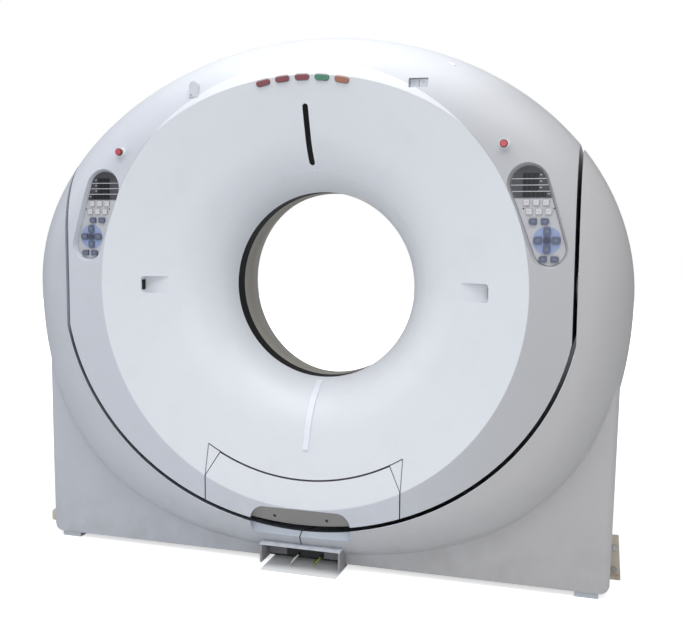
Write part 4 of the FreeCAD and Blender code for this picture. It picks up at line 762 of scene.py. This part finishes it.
# a pale bead on the stand along the gap, from each cheek to the scoop
gapBead = {"half": 983.0, "drop": 892.0, "front": -313.4, "thick": 3.4, "from": 12.5, "to": 167.5,
           "scoop": 199.0, "outside": 1.0018, "steps": 120, "corners": 8}
for side in (-1, 1):
    work = bmesh.new()
    route = []
    for step in range(gapBead["steps"] + 1):
        angle = math.radians(gapBead["from"] + (gapBead["to"] - gapBead["from"]) * step / gapBead["steps"])
        x, z = gapBead["half"] * math.cos(angle), -gapBead["drop"] * math.sin(angle)
        if x * side > gapBead["scoop"]:
            route.append((x * gapBead["outside"], z * gapBead["outside"]))
    rings = []
    for x, z in route:
        outward = Vector((x / gapBead["half"] ** 2, 0, z / gapBead["drop"] ** 2)).normalized()
        ring = []
        for corner in range(gapBead["corners"]):
            angle = 2 * math.pi * corner / gapBead["corners"]
            swing = outward * math.cos(angle) + Vector((0, 1, 0)) * math.sin(angle)
            ring.append(work.verts.new(place(x, gapBead["front"], z) + swing * gapBead["thick"] / 2000))
        rings.append(ring)
    skin(work, rings)
    addPiece("gapBead" + ("Left" if side < 0 else "Right"), work, "stand", "tab")

cableBoots = {"profile": [(5.2, -0.6), (5.2, 2.0), (4.5, 2.6), (4.7, 4.0), (4.1, 4.6), (4.3, 6.0), (3.8, 6.6),
                          (4.0, 8.0), (3.5, 8.6), (3.6, 10.0), (3.2, 11.5), (2.9, 12.0)]}
for name, cable in hoodCables.items():
    work = bmesh.new()
    lathe(work, Vector(cable["route"][0]), Vector((0, -1, 0)), cableBoots["profile"], 24)
    boot = addPiece(name.replace("Cable", "Boot"), work, "stand", "black")
print("fittings placed")


# floor and soft light
light = {"sky": 0.36, "skyTone": (0.95, 0.97, 1.0, 1), "white": (1, 1, 1, 1)}
lamps = {
    "overheadLamp": {"spot": (0.2, -1.4, 4.6), "target": (0, 0, 1.0), "size": (5.0, 3.6), "power": 150.0},
    "frontLamp": {"spot": (1.6, -5.0, 2.6), "target": (0, 0, 1.1), "size": (3.4, 3.0), "power": 52.0},
    "leftLamp": {"spot": (-4.2, -2.2, 2.2), "target": (0, 0, 1.1), "size": (2.6, 3.0), "power": 28.0},
}
floorLook = {  # its glow to the camera grows with the distance, and stops under the connectors
    "radius": 14, "sides": 96, "height": -0.0005, "tone": (0.82, 0.83, 0.84, 1), "rough": 0.5,
    "near": 1600, "far": 5200, "nearGlow": 0.62, "farGlow": 1.25,
    "underSide": 150, "underBack": (-336, 300),
}


def softLamp(name, spot, target, size, power):
    lamp = bpy.data.lights.new(name, "AREA")
    lamp.shape = "RECTANGLE"
    lamp.size, lamp.size_y = size
    lamp.energy = power
    holder = bpy.data.objects.new(name, lamp)
    holder.location = spot
    holder.rotation_euler = (Vector(target) - Vector(spot)).to_track_quat("-Z", "Y").to_euler()
    bpy.context.collection.objects.link(holder)


def studioWorld():
    world = bpy.data.worlds.new("studio")
    bpy.context.scene.world = world
    world.use_nodes = True
    tree = world.node_tree
    tree.nodes.clear()
    path = tree.nodes.new("ShaderNodeLightPath")
    sky = tree.nodes.new("ShaderNodeBackground")
    sky.inputs["Color"].default_value = light["skyTone"]
    sky.inputs["Strength"].default_value = light["sky"]
    seen = tree.nodes.new("ShaderNodeBackground")
    seen.inputs["Color"].default_value = light["white"]
    mixer = tree.nodes.new("ShaderNodeMixShader")
    out = tree.nodes.new("ShaderNodeOutputWorld")
    tree.links.new(path.outputs["Is Camera Ray"], mixer.inputs[0])
    tree.links.new(sky.outputs[0], mixer.inputs[1])
    tree.links.new(seen.outputs[0], mixer.inputs[2])
    tree.links.new(mixer.outputs[0], out.inputs[0])


def studioFloor():
    # pale floor that keeps the object's shadow
    look = floorLook
    mesh = bpy.data.meshes.new("studioFloor")
    work = bmesh.new()
    bmesh.ops.create_circle(work, cap_ends=True, cap_tris=False,
                            segments=look["sides"], radius=look["radius"])
    work.to_mesh(mesh)
    work.free()
    floor = bpy.data.objects.new("studioFloor", mesh)
    floor.location = (0, 0, look["height"])
    bpy.context.collection.objects.link(floor)
    paint = Paint("studioFloor")
    path = paint.node("ShaderNodeLightPath", output="Is Camera Ray")
    plain = paint.node("ShaderNodeBsdfDiffuse", None, {"Color": look["tone"], "Roughness": look["rough"]})
    near, far = look["underBack"]
    under = (paint.side < look["underSide"]) * (paint.back > near) * (paint.back < far)
    away = (paint.right ** 2 + paint.back ** 2) ** 0.5
    lift = away.ramp(look["near"], look["far"], look["nearGlow"], look["farGlow"]) * (1 - under)
    glow = paint.node("ShaderNodeEmission", None, {"Color": light["white"], "Strength": path * lift})
    paint.finish(paint.node("ShaderNodeAddShader", None, {0: plain, 1: glow}))
    mesh.materials.append(paint.material)


studioWorld()
studioFloor()
for name, lamp in lamps.items():
    softLamp(name, lamp["spot"], lamp["target"], lamp["size"], lamp["power"])
bpy.context.scene.view_settings.view_transform = "Standard"
print("floor and light ready")
